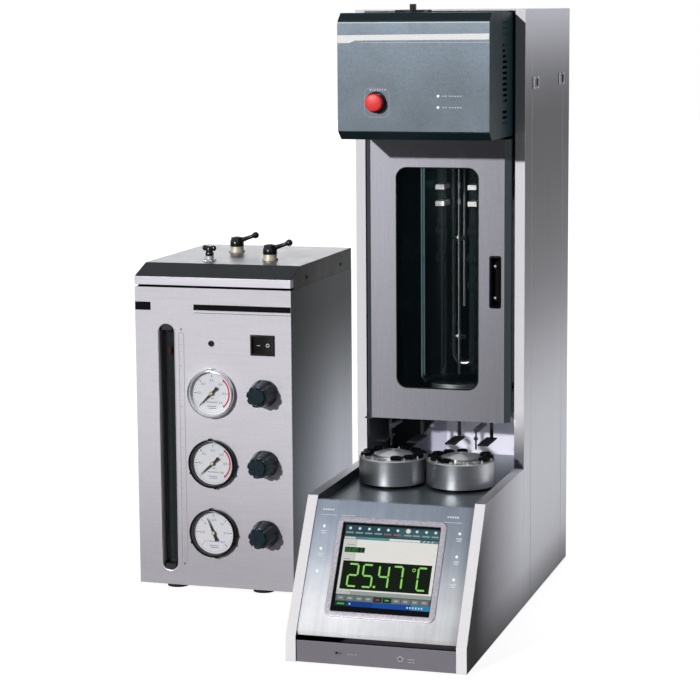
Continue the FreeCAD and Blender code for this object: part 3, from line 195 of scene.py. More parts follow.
def copies(solid, places):
    """The same shape at several places: each copy's points are shifted by its place."""
    return [(solid[0] + place, solid[1]) for place in places]


def round_outline(width, height, corner, steps=8):
    """A rounded rectangle and its outward normals: quarter circles of the corner radius round
    the four inner corner points, in order."""
    points, normals = [], []
    for index, (sx, sy) in enumerate(((1, 1), (-1, 1), (-1, -1), (1, -1))):
        normal = circle(np.linspace(0, np.pi / 2, steps) + index * np.pi / 2, *FLAT)
        inner = np.array([sx * (width / 2 - corner), sy * (height / 2 - corner)])
        points.append(inner + corner * normal)
        normals.append(normal)
    return np.concatenate(points), np.concatenate(normals)


def framed(rounded, profile, origin, right=RIGHT, up=UP, out=BACK):
    """A section carried round a rounded rectangle: outline point plus offset times its normal
    in the plane, plus the section's height along the plane's own normal."""
    outline, normals = round_outline(*rounded)
    profile = np.asarray(profile, float)
    flat = outline + profile[:, :1, None] * normals
    points = flat[..., :1] * right + flat[..., 1:] * up + profile[:, 1:, None] * out
    return points.reshape(-1, 3) + origin, grid_faces(len(profile), len(outline))


def pipe(path, radius, sides):
    """A pipe along a path: each path point plus the radius times a circle in the plane across
    the path. The ends are closed by rings of no radius."""
    tangent = np.gradient(path, axis=0)
    tangent /= np.linalg.norm(tangent, axis=1)[:, None]
    side = np.cross(tangent, UP)
    side /= np.linalg.norm(side, axis=1)[:, None]
    ring = circle(around(sides), side[:, None, :], np.cross(tangent, side)[:, None, :])
    points = np.concatenate([np.repeat(path[:1, None], sides, 1),
                             path[:, None, :] + radius[:, None, None] * ring,
                             np.repeat(path[-1:, None], sides, 1)])
    return points.reshape(-1, 3), grid_faces(len(path) + 2, sides)


def soft_block(size, centre, bevel):
    """A block whose twelve edges are rounded: a unit cube scaled to size, each edge bevelled."""
    work = bmesh.new()
    bmesh.ops.create_cube(work, size=1.0)
    bmesh.ops.scale(work, vec=Vector(size), verts=work.verts)
    bmesh.ops.bevel(work, geom=list(work.edges), offset=bevel, segments=3, profile=0.5,
                    affect="EDGES")
    bmesh.ops.translate(work, vec=Vector(centre), verts=work.verts)
    points = np.array([v.co[:] for v in work.verts])
    faces = [[v.index for v in f.verts] for f in work.faces]
    work.free()
    return points, faces


def placed(name, data):
    """A new object at the origin that shows some data."""
    made = bpy.data.objects.new(name, data)
    bpy.context.scene.collection.objects.link(made)
    return made


def smoothed(mesh, angle):
    """Smooth shading, with edges sharper than the angle kept crisp."""
    mesh.shade_smooth()
    mesh.set_sharp_from_angle(angle=math.radians(angle))


def piece(name, solid, finish, body="cabinet", node=None, angle=35.0, turn=True):
    """Puts a (points, faces) pair, or a list of them, into a new object that rides on a body.
    With a node's name it stands for that node."""
    points, faces = together(solid if isinstance(solid, list) else [solid])
    mesh = bpy.data.meshes.new(name)
    mesh.from_pydata(points.tolist(), [], faces)
    work = bmesh.new()
    work.from_mesh(mesh)
    bmesh.ops.remove_doubles(work, verts=work.verts, dist=SAME_POINT)
    if turn:
        bmesh.ops.recalc_face_normals(work, faces=work.faces)
    work.to_mesh(mesh)
    work.free()
    smoothed(mesh, angle)
    mesh.materials.append(finish.material)
    made = placed(name, mesh)
    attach(made, body)
    if node:
        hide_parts(node)
    return made


def dress(node, finish, bevel=None, angle=30.0):
    """Gives a frame node its finish. With a bevel it makes a merged copy of the node instead,
    with its edges rounded by that radius, which stands for the node."""
    shown = frame["nodes"][node]
    if bevel is None:
        for holder in shown.material_slots:
            holder.material = finish.material
        return
    mesh = shown.data.copy()
    mesh.name = node + "_skin"
    own_normals = mesh.attributes.get("custom_normal")
    if own_normals:
        mesh.attributes.remove(own_normals)
    work = bmesh.new()
    work.from_mesh(mesh)
    bmesh.ops.remove_doubles(work, verts=work.verts, dist=SAME_CAD_POINT)
    bmesh.ops.dissolve_limit(work, angle_limit=math.radians(SAME_PLANE), verts=work.verts,
                             edges=work.edges)
    work.to_mesh(mesh)
    work.free()
    mesh.materials.clear()
    mesh.materials.append(finish.material)
    smoothed(mesh, angle)
    made = placed(node + "_skin", mesh)
    if bevel:
        rounded = made.modifiers.new("edge", "BEVEL")
        rounded.width = bevel
        rounded.segments = 2
        rounded.limit_method = "ANGLE"
        rounded.angle_limit = math.radians(angle)
        rounded.harden_normals = True
    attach(made, shown["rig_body"])
    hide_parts(node)


# Material tools

class Nodes:
    """A node tree with short ways to add to it. A value is a number, a colour, an output of
    another node, or a name: X, Y or Z for a coordinate, nX, nY or nZ for the normal's."""

    def __init__(self, tree, space="Object"):
        self.tree = tree
        self.space = space

    def field(self, name):
        """A coordinate of the place, which is metres in the row on a piece, or of the normal."""
        vector = (self.add("NewGeometry", "Normal") if name.startswith("n")
                  else self.add("TexCoord", self.space))
        return self.add("SeparateXYZ", name[-1], {"Vector": vector})

    def feed(self, value, target):
        """Gives an input a value."""
        if isinstance(value, str):
            value = self.field(value)
        if isinstance(value, bpy.types.NodeSocket):
            self.tree.links.new(value, target)
        else:
            target.default_value = (*value, 1.0) if target.type == "RGBA" else value

    def add(self, kind, output, inputs=(), **settings):
        """Adds a node with its settings and inputs, and gives back one of its outputs."""
        made = self.tree.nodes.new("ShaderNode" + kind)
        for key, value in settings.items():
            setattr(made, key, value)
        for key, value in dict(inputs).items():
            self.feed(value, made.inputs[key])
        return made.outputs[output]

    def math(self, operation, *values):
        """The outcome of an operation on values."""
        return self.add("Math", "Value", enumerate(values), operation=operation)

    def times(self, first, *others):
        """The product of values."""
        for other in others:
            first = self.math("MULTIPLY", first, other)
        return first

    def ramp(self, value, low, high, to_low=0.0, to_high=1.0, smooth=False):
        """Carries a value from one range to another, held at both ends."""
        return self.add("MapRange", "Result",
                        {"Value": value, "From Min": low, "From Max": high,
                         "To Min": to_low, "To Max": to_high}, clamp=True,
                        interpolation_type="SMOOTHSTEP" if smooth else "LINEAR")

    def near(self, value, centre, half, soft=0.0002):
        """One where a value is within half of a centre, and nothing outside."""
        gap = self.math("ABSOLUTE", self.math("SUBTRACT", value, centre))
        return self.ramp(gap, half + soft, half)


class Finish(Nodes):
    """A procedural material: nodes behind one Principled shader."""

    def __init__(self, name, colour, roughness=0.4, metallic=0.0, **inputs):
        self.material = bpy.data.materials.new(name)
        self.material.use_nodes = True
        super().__init__(self.material.node_tree)
        self.shader = self.tree.nodes["Principled BSDF"]
        self.base = self.colour = tuple(colour)
        self.set(Base_Color=self.base, Roughness=roughness, Metallic=metallic, **inputs)

    def set(self, **inputs):
        """Gives inputs of the shader their values."""
        for name, value in inputs.items():
            self.feed(value, self.shader.inputs[name.replace("_", " ")])
        return self

    def noise(self, scale, stretch=(1, 1, 1), detail=3.0):
        """Noise on object coordinates, stretched along the axes."""
        place = self.add("Mapping", "Vector", {"Vector": self.add("TexCoord", self.space),
                                               "Scale": stretch})
        return self.add("TexNoise", "Fac", {"Vector": place, "Scale": scale,
                                            "Detail": detail, "Roughness": 0.55})

    def tint(self, factor, colour, blend="MIX"):
        """Mixes the colour so far with another by a factor."""
        self.colour = self.add("Mix", "Result",
                               {"A": self.colour, "B": colour, "Factor": factor},
                               data_type="RGBA", blend_type=blend)
        return self.set(Base_Color=self.colour)

    def shade(self, field, low, high):
        """Multiplies the colour so far by a grey that runs from low to high with a field."""
        return self.tint(1.0, self.ramp(field, 0.0, 1.0, low, high), "MULTIPLY")

    def speckle(self, scale, amount, stretch=(1, 1, 1), detail=3.0):
        """Fine darker and lighter grain, multiplied into the colour."""
        field = self.ramp(self.noise(scale, stretch, detail), 0.3, 0.7)
        return self.shade(field, 1 - amount, 1 + amount)

    def mottle(self, scale, amount, stretch=(1, 1, 1)):
        """Slightly lighter and darker patches of the base colour."""
        field = self.noise(scale, stretch)
        for end, share in ((0.75, 1 + amount), (0.25, 1 - amount)):
            self.tint(self.ramp(field, 0.5, end, 0.0, 0.9),
                      tuple(min(1.0, channel * share) for channel in self.base))
        return self

    def graded(self, value, stops):
        """Colour that follows a value smoothly through stops: each has a value and a share of
        the base colour, or a colour of its own."""
        low, high = stops[0][0], stops[-1][0]
        shown = self.add("ValToRGB", "Color", {"Fac": self.ramp(value, low, high)})
        shown.node.color_ramp.interpolation = "B_SPLINE"
        elements = shown.node.color_ramp.elements
        for place, _ in stops[1:-1]:
            elements.new((place - low) / (high - low))
        for element, (_, share) in zip(elements, stops):
            element.color = (*(np.multiply(self.base, share) if np.isscalar(share)
                               else share), 1.0)
        self.colour = shown
        return self.set(Base_Color=shown)

    def rough(self, field, low, high):
        """Roughness that follows a field."""
        return self.set(Roughness=self.ramp(field, 0.3, 0.7, low, high))

    def bump(self, field, distance, strength):
        """Fine relief from a field, with its depth in metres."""
        return self.set(Normal=self.add("Bump", "Normal", {
            "Strength": strength, "Distance": distance, "Height": field}))

    def grain(self, stretch, low, high):
        """Fine streaks in gloss and relief."""
        streaks = self.noise(1.0, stretch)
        return self.rough(streaks, low, high).bump(streaks, 0.00001, 0.1)


def painted(name, colour, roughness=0.42, metallic=0.0):
    """Satin paint: fine orange-peel relief and a faint unevenness of colour and gloss."""
    made = Finish(name, colour, roughness, metallic).mottle(30, 0.035)
    made.bump(made.noise(420, detail=2), 0.00003, 0.05)
    return made.rough(made.noise(60), roughness - 0.03, roughness + 0.04)


def brushed(name, colour, roughness=0.32, metallic=0.9, stretch=(12, 12, 1400), amount=0.06):
    """Brushed metal: long fine streaks along one way in colour, gloss and relief."""
    made = Finish(name, colour, roughness, metallic).mottle(1.0, amount, stretch)
    streaks = made.noise(1.0, stretch, 4)
    return made.bump(streaks, 0.00002, 0.12).rough(streaks, roughness - 0.04, roughness + 0.06)


def moulded(name, colour, roughness=0.45, grain=1500):
    """Moulded plastic: a fine spark-eroded grain with a soft gloss; dark plastic reflects
    little."""
    made = Finish(name, colour, roughness)
    if max(colour) < 0.1:
        made.set(Specular_IOR_Level=0.2)
    made.bump(made.noise(grain, detail=2), 0.00002, 0.15)
    return made.rough(made.noise(140), roughness - 0.06, roughness + 0.08).mottle(220, 0.08)


def coated_glass(name, colour):
    """Glass with a hard gloss that is faintly wavy."""
    made = Finish(name, colour, 0.03, Coat_Weight=0.6)
    return made.rough(made.noise(60), 0.018, 0.048)


def thin_glass(name, colour, clear=0.06, edge=0.75, blend=0.35, start=0.25):
    """Thin clear glass: nearly open face-on and denser towards its edges, where a wall is
    seen end-on."""
    made = coated_glass(name, colour)
    facing = made.add("LayerWeight", "Facing", {"Blend": blend})
    return made.set(Alpha=made.ramp(facing, start, 1.0, clear, edge, smooth=True))


def inked(name, glow=0.0, roughness=0.5):
    """Print and display colours, taken from each face's own paint attribute."""
    made = Finish(name, (0.5, 0.5, 0.5), roughness, Specular_IOR_Level=0.05)
    made.colour = made.add("Attribute", "Color", attribute_name="paint")
    made.shade(made.ramp(made.noise(900, detail=2), 0.3, 0.7), 0.93, 1.0)
    if glow:
        made.set(Emission_Color=made.colour, Emission_Strength=glow)
    return made


# Flat artwork: display, dials and printed marks

def shape(outline, colour, layer=1):
    """One filled outline of a flat picture."""
    outline = np.asarray(outline, float)
    return outline, [list(range(len(outline)))], colour, layer


def bar(x0, y0, x1, y1, colour, layer=1):
    """A filled upright rectangle."""
    return shape([(x0, y0), (x1, y0), (x1, y1), (x0, y1)], colour, layer)


def bars(*rows):
    """Several upright rectangles."""
    return [bar(*row) for row in rows]


def dashes(starts, width, y0, y1, colour, layer=1):
    """A row of bars of the same width and height."""
    return [bar(x, y0, x + width, y1, colour, layer) for x in starts]


def stroke(start, end, width, colour, layer=1):
    """A straight line of some width: its ends plus and minus half the width across it."""
    start, end = np.asarray(start, float), np.asarray(end, float)
    run = end - start
    across = np.array([-run[1], run[0]]) / np.linalg.norm(run) * width / 2
    return shape([start - across, end - across, end + across, start + across], colour, layer)


def disc(x, y, radius, colour, layer, steps):
    """A filled circle."""
    return shape(radius * circle(around(steps), *FLAT) + (x, y), colour, layer)


def band(x, y, inner, outer, start, end, colour, layer, steps):
    """Part of a flat ring between two angles in degrees, as a strip of quads."""
    ring = circle(np.radians(np.linspace(start, end, steps)), *FLAT)
    points = np.concatenate([ring * inner, ring * outer]) + (x, y)
    return points, grid_faces(2, steps, closed=False).tolist(), colour, layer


def ribbon(outline, normals, width, colour):
    """A thin closed line that follows an outline."""
    points = np.concatenate([outline - normals * width / 2, outline + normals * width / 2])
    return points, grid_faces(2, len(outline)).tolist(), colour, 1


def word(text, x, y, size, colour, layer):
    """Numerals as filled outlines, centred on a point."""
    curve = bpy.data.curves.new("numeral", "FONT")
    curve.body = text
    curve.size = size
    curve.align_x = curve.align_y = "CENTER"
    curve.resolution_u = 3
    holder = placed("numeral", curve)
    bpy.context.view_layer.update()
    mesh = bpy.data.meshes.new_from_object(
        holder.evaluated_get(bpy.context.evaluated_depsgraph_get()))
    flat = np.zeros(len(mesh.vertices) * 3)
    mesh.vertices.foreach_get("co", flat)
    faces = [list(p.vertices) for p in mesh.polygons]
    bpy.data.objects.remove(holder)
    bpy.data.curves.remove(curve)
    bpy.data.meshes.remove(mesh)
    return flat.reshape(-1, 3)[:, :2] + (x, y), faces, colour, layer


def picture(name, shapes, origin, finish, body="cabinet", right=RIGHT,
            up=UP, lift=0.00006):
    """Lays flat shapes in millimetres on a plane: origin plus x along one side and y along the
    other, each layer lifted a little off the plane. Face colours go into the paint attribute."""
    out = np.cross(right, up)
    parts, paints = [], []
    for points, faces, colour, layer in shapes:
        parts.append((origin + points[:, :1] * MM * right + points[:, 1:] * MM * up
                      + layer * lift * out, faces))
        paints.append(np.tile((*colour, 1.0), (sum(len(f) for f in faces), 1)))
    points, faces = together(parts)
    mesh = bpy.data.meshes.new(name)
    mesh.from_pydata(points.tolist(), [], faces)
    paint = mesh.attributes.new("paint", "FLOAT_COLOR", "CORNER")
    paint.data.foreach_set("color", np.concatenate(paints).ravel())
    mesh.materials.append(finish.material)
    made = placed(name, mesh)
    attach(made, body)


SEGMENTS = {"2": "abged", "5": "afgcd", "4": "fgbc", "7": "abc", "C": "afed", "8": "abcdefg",
            "0": "abcdef", "3": "abgcd", "6": "afgecd"}
SEGMENT_ENDS = {"a": ((0, 2), (1, 2)), "b": ((1, 1), (1, 2)), "c": ((1, 0), (1, 1)),
                "d": ((0, 0), (1, 0)), "e": ((0, 0), (0, 1)), "f": ((0, 1), (0, 2)),
                "g": ((0, 1), (1, 1))}


def seven_segment(mark, x, y, width, height, thick, colour, layer):
    """A seven-segment numeral: one bevelled bar for each lit segment. Segment ends are told in
    widths and half heights."""
    lit = []
    for segment in SEGMENTS[mark]:
        start, end = np.array(SEGMENT_ENDS[segment]) * (width, height / 2)
        along = (end - start) / np.linalg.norm(end - start)
        across = np.array([-along[1], along[0]]) * thick / 2
        start, end = start + along * thick * 0.18, end - along * thick * 0.18
        cut = along * thick / 2
        outline = [start, start + cut + across, end - cut + across, end,
                   end - cut - across, start + cut - across]
        lit.append(shape(np.array(outline) + (x, y), colour, layer))
    return lit


# Settings that a user would change

def colour_setting(name, description, default):
    return FloatVectorProperty(name=name, description=description, default=default,
                               subtype="COLOR", size=3, min=0.0, max=1.0)


def length_setting(name, description, default):
    return FloatProperty(name=name, description=description, default=default, min=0.0,
                         unit="LENGTH", precision=5)


def strength_setting(name, description, default):
    return FloatProperty(name=name, description=description, default=default, min=0.0)


def angle_setting(name, description, degrees):
    return FloatProperty(name=name, description=description, default=math.radians(degrees),
                         subtype="ANGLE")


class PaintSettings(bpy.types.PropertyGroup):
    wall: colour_setting("Wall", "Side walls of the bath tower", (0.33, 0.33, 0.365))
    edge: colour_setting("Wall edge", "Front edges of the side walls", (0.80, 0.79, 0.84))
    door: colour_setting("Door", "Face of the door", (0.485, 0.485, 0.555))
    head: colour_setting("Head", "Cover over the bath", (0.009, 0.024, 0.030))
    head_plate: colour_setting("Head plate", "Front plate of the head", (0.130, 0.170, 0.210))
    panel: colour_setting("Panel", "Sloping control panel", (0.30, 0.35, 0.43))
    supply: colour_setting("Supply front", "Front of the supply cabinet", (0.615, 0.60, 0.66))
    supply_side: colour_setting("Supply side", "Sides of the supply cabinet",
                                (0.026, 0.044, 0.053))
    lid: colour_setting("Lid bevel", "Sloping front and sides of the lid",
                        (0.024, 0.029, 0.036))
    # The lid top's colour is painted light, paler than the bevel.
    lid_top: colour_setting("Lid top", "Flat top of the lid", (0.195, 0.20, 0.245))


class ShapeSettings(bpy.types.PropertyGroup):
    panel_edge: length_setting("Panel edge", "Rounding of sheet metal edges", 0.0005)
    vial_cap: length_setting("Vial cap", "Radius of a vial's ring cap", 0.0067)
    knob_back: length_setting("Knob back", "Radius of a regulator knob at the panel", 0.0184)
    knob_front: length_setting("Knob front", "Radius of a regulator knob at its front", 0.0138)
    knob_flutes: IntProperty(name="Flutes", description="Grip flutes of a regulator knob",
                             default=8, min=3, max=24)
    reading: StringProperty(name="Reading", description="Number on the display",
                            default="25.47")


class StageSettings(bpy.types.PropertyGroup):
    floor: colour_setting("Floor", "Colour of the floor", (0.34, 0.34, 0.34))
    key: strength_setting("Key light", "Strength of the low front light", 2.5)
    side: strength_setting("Side light", "Strength of the wash on the right sides", 1.75)
    fill: strength_setting("Fill light", "Strength of the surroundings", 0.022)
    azimuth: angle_setting("Azimuth", "Camera's turn to the right", 16.55)
    pitch: angle_setting("Pitch", "Camera's downward tilt", 8.36)
    roll: angle_setting("Roll", "Camera's roll", -0.40)
    lens: FloatProperty(name="Lens", description="Focal length in millimetres",
                        default=116.33, min=10.0)
    camera_place: FloatVectorProperty(name="Camera place", size=3, subtype="TRANSLATION",
                                      description="Millimetres from the main cabinet's front",
                                      default=(684.22, -2393.34, 744.73))


class TesterOperator:
    """Shared by all operators of this file."""

    bl_options = {"REGISTER", "UNDO"}

    @property
    def paint(self):
        return bpy.context.scene.tester_paint

    @property
    def sizes(self):
        return bpy.context.scene.tester_shape


# Stage

class TESTER_OT_stage(TesterOperator, bpy.types.Operator):
    """Floor, surroundings, lights and camera"""

    bl_idname = "tester.stage"
    bl_label = "Stage"

    def execute(self, context):
        look = context.scene.tester_stage
        self.floor(look)
        self.surroundings(look)
        self.lights(look)
        self.camera(context, look)
        context.scene.view_settings.view_transform = "Standard"
        return {"FINISHED"}

    def floor(self, look):
        """A wide plane at the table's height that shows white to the camera, with shadows, and
        a grey that fades to the front and left in reflections."""
        mesh = bpy.data.meshes.new("floor")
        corner_signs = np.array([(-1, -1, 0), (1, -1, 0), (1, 1, 0), (-1, 1, 0)])
        mesh.from_pydata((corner_signs * FLOOR_HALF).tolist(), [], [(0, 1, 2, 3)])
        made = Finish("floor_white", look.floor, 0.7).mottle(3, 0.004)
        eye = made.add("LightPath", "Is Camera Ray")
        made.tint(made.ramp(eye, 1, 0), (0.06, 0.06, 0.06))
        fading = made.times(made.ramp("Y", -0.9, 0.5, 0.06, 0.62),
                            made.ramp("X", -0.9, 0.3, 0.55, 1.0))
        shown = made.add("Mix", "Result", {"Factor": eye, "A": fading, "B": 0.90},
                         data_type="FLOAT")
        seen = made.math("MAXIMUM", eye, made.add("LightPath", "Is Glossy Ray"))
        glow = made.add("Emission", "Emission", {"Color": (1, 1, 1),
                                                 "Strength": made.times(shown, seen)})
        both = made.add("AddShader", "Shader", {0: made.shader.outputs["BSDF"], 1: glow})
        made.feed(both, made.tree.nodes["Material Output"].inputs["Surface"])
        mesh.materials.append(made.material)
        placed("floor", mesh)

    def surroundings(self, look):
        """White to the camera, graded from dark low down to bright high up in reflections,
        and an even soft light for everything else."""
        world = bpy.data.worlds.new("studio")
        bpy.context.scene.world = world
        world.use_nodes = True
        sky = Nodes(world.node_tree, "Generated")
        graded = sky.times(sky.ramp("Z", -0.25, 0.55, 0.25, 1.0),
                           sky.ramp("Y", 0.6, -0.8, 0.55, 0.7))
        soft, shiny, white = (
            sky.add("Background", "Background", {"Color": colour, "Strength": strength})
            for colour, strength in (((0.97, 0.98, 1.0), look.fill), ((0.95, 0.97, 1.0), graded),
                                     ((1, 1, 1), 1.0)))
        eye, gloss, through = (sky.add("LightPath", "Is %s Ray" % kind)
                               for kind in ("Camera", "Glossy", "Transmission"))
        light = sky.add("MixShader", "Shader", {0: gloss, 1: soft, 2: shiny})
        shown = sky.add("MixShader", "Shader",
                        {0: sky.math("MAXIMUM", eye, through), 1: light, 2: white})
        sky.feed(shown, sky.tree.nodes["World Output"].inputs["Surface"])

    def lights(self, look):
        """A hard key light from the front left, soft washes along the right sides and the
        backs, a wide soft light from above, and two small cards of light that only light: over
        the carousels and inside the bath chamber."""
        self.light("key", "SUN", look.key, (0.31, 0.95, -0.27), angle=math.radians(1.8),
                   color=(1.0, 0.99, 0.98))
        self.light("side_wash", "SUN", look.side, (-1.0, -0.24, -0.10),
                   angle=math.radians(25.0))
        self.light("rear_wash", "SUN", 0.55, (0.25, -1.0, -0.12), angle=math.radians(30.0))
        self.area("overhead", 1.3, (0.9, -0.6, 2.4), (0.0, 0.0, 0.3), 2.4, 1.6)
        behind_door = corners("door_shell")[1][1]
        low, high = corners("door_glass")
        cards = (("bay_card", 0.11, (MAIN[0] + 0.035, behind_door + 0.012, 0.243),
                  (MAIN[0] + 0.045, behind_door + 0.07, 0.17), 0.12, 0.02),
                 ("bath_card", 0.07, (MAIN[0] - 0.03, high[1] + 0.016, high[2] - 0.02),
                  (MAIN[0] + 0.005, high[1] + 0.10, high[2] - 0.20), 0.06, 0.03))
        for card in cards:
            made = self.area(*card)
            made.visible_camera = made.visible_glossy = False

    def light(self, name, kind, energy, way, place=(0.0, 0.0, 0.0), **settings):
        """A light at a place that shines along a way."""
        data = bpy.data.lights.new(name, kind)
        data.energy = energy
        for key, value in settings.items():
            setattr(data, key, value)
        made = placed(name, data)
        made.location = place
        made.rotation_mode = "QUATERNION"
        made.rotation_quaternion = Vector(way).to_track_quat("-Z", "Y")
        return made

    def area(self, name, energy, place, aim, wide, tall):
        """A rectangle of light that faces a point."""
        return self.light(name, "AREA", energy, Vector(aim) - Vector(place), place,
                          shape="RECTANGLE", size=wide, size_y=tall)

    def camera(self, context, look):
        """Looks from the photograph's place: forward from azimuth and pitch, then rolled."""
        data = bpy.data.cameras.new("photo_view")
        data.sensor_width = 36.0
        data.lens = look.lens
        data.clip_end = 100.0
        made = placed("photo_view", data)
        a, p, r = look.azimuth, look.pitch, look.roll
        forward = Vector((-math.sin(a) * math.cos(p), math.cos(a) * math.cos(p), -math.sin(p)))
        right = Vector((math.cos(a), math.sin(a), 0.0))
        up = right.cross(forward)
        rolled_right = right * math.cos(r) + up * math.sin(r)
        rolled_up = up * math.cos(r) - right * math.sin(r)
        turn = Matrix((rolled_right, rolled_up, -forward)).transposed()
        made.matrix_world = Matrix.Translation(on_main(look.camera_place)) @ turn.to_4x4()
        context.scene.camera = made


# Main cabinet

class TESTER_OT_cabinet(TesterOperator, bpy.types.Operator):
    """Side walls, covers, floor pan, deck and inner panels of the bath tower"""

    bl_idname = "tester.cabinet"
    bl_label = "Cabinet"

    def execute(self, context):
        edge = self.sizes.panel_edge
        wall = self.wall_finish()
        for node in ("cheek_left", "cheek_right", "tower_side_left", "tower_side_right"):
            dress(node, wall, edge)
        dress("tower_cover", painted("cover_satin", self.paint.wall, 0.4, 0.3))
        dress("base_pan", painted("fascia_satin", (0.19, 0.18, 0.215), 0.42, 0.1), edge)
        self.deck()
        dress("bath_plate", brushed("bath_plate_steel", (0.45, 0.50, 0.52), 0.36, 1.0,
                                    (9, 9, 900), 0.04))
        dress("bath_head", painted("bath_head_black", (0.012, 0.016, 0.018), 0.35))
        dress("sensor_arms", painted("arm_black", (0.003, 0.003, 0.004), 0.6).set(
            Specular_IOR_Level=0.25))
        dress("carousel_motors", painted("motor_black", (0.03, 0.03, 0.033), 0.45))
        dress("stirrer_motor", painted("stirrer_black", (0.03, 0.03, 0.033), 0.45))
        return {"FINISHED"}

    def wall_finish(self):
        """Satin sheet with fine upright lines. Its colour carries painted light: a painted
        reflection of the studio in bands up the side, painted shade low down towards the front
        and on the wall inside the bay, and bright front edges that painted shade darkens at the
        foot of the tower's right wall."""
        made = Finish("wall_satin_painted_light", self.paint.wall, 0.38)
        # Painted reflection of the studio: lighter and darker bands up the side.
        made.graded("Z", ((0.0, 1.4), (0.08, 2.7), (0.24, 2.9), (0.36, 0.75), (0.48, 0.34),
                          (0.61, 0.16), (0.68, 0.9), (0.745, 2.9)))
        made.speckle(1.0, 0.05, UPRIGHT_GRAIN)
        # Painted shade: darker and less glossy low down towards the front.
        behind = made.times(made.ramp("Y", -0.25, 0.0), made.ramp("Z", 0.0, 0.05, 0.3, 1.0))
        lit = made.math("MAXIMUM", behind, made.ramp("Z", 0.07, 0.34, smooth=True))
        made.shade(lit, 0.03, 1.0)
        made.set(Specular_IOR_Level=made.ramp(lit, 0, 1, 0.04, 0.22))
        # Painted shade on the wall's inner face inside the bay.
        inside = made.times(made.ramp("nX", 0.4, 0.6), made.ramp("X", 0.11, 0.09))
        made.tint(inside, (0.012, 0.014, 0.018))
        facing = made.ramp("nY", -0.25, -0.45)
        made.tint(facing, self.paint.edge)
        nose = made.ramp("Y", -0.03, -0.05)
        made.tint(made.times(facing, nose), (0.97, 0.96, 1.0))
        # Painted shade on the foot of the tower's right front edge.
        foot = made.times(made.ramp("Y", -0.05, -0.03), made.ramp("X", 0.10, 0.12),
                          made.ramp("Z", 0.250, 0.195))
        made.tint(made.times(facing, foot), (0.17, 0.175, 0.20))
        return made.grain(UPRIGHT_GRAIN, 0.34, 0.44)

    def deck(self):
        """Polished deck and bay wall, and the dark wall behind the bath. The bay wall carries
        painted light on its right part, bounded by a slanted painted shadow edge.
        """
        dress("carousel_deck", brushed("deck_polish", (0.20, 0.23, 0.25), 0.40, 0.9,
                                       (9, 400, 9), 0.03))
        wall = brushed("bay_polish", (0.012, 0.018, 0.022), 0.55, 0.1, (9, 9, 400), 0.03)
        # Painted light and shadow on the bay wall: dark left of a slanted shadow edge, lit to its
        # right and brightest at the far right.
        painted_shadow_edge = wall.math("MULTIPLY_ADD", "Z", -0.8, "X")
        wall.tint(wall.ramp(painted_shadow_edge, -0.066, -0.062), (0.45, 0.45, 0.57))
        wall.tint(wall.ramp("X", 0.117, 0.119), (0.78, 0.78, 0.90))
        wall.tint(wall.ramp("Z", 0.2445, 0.2455), (0.004, 0.007, 0.009))
        dress("inner_panels", wall)


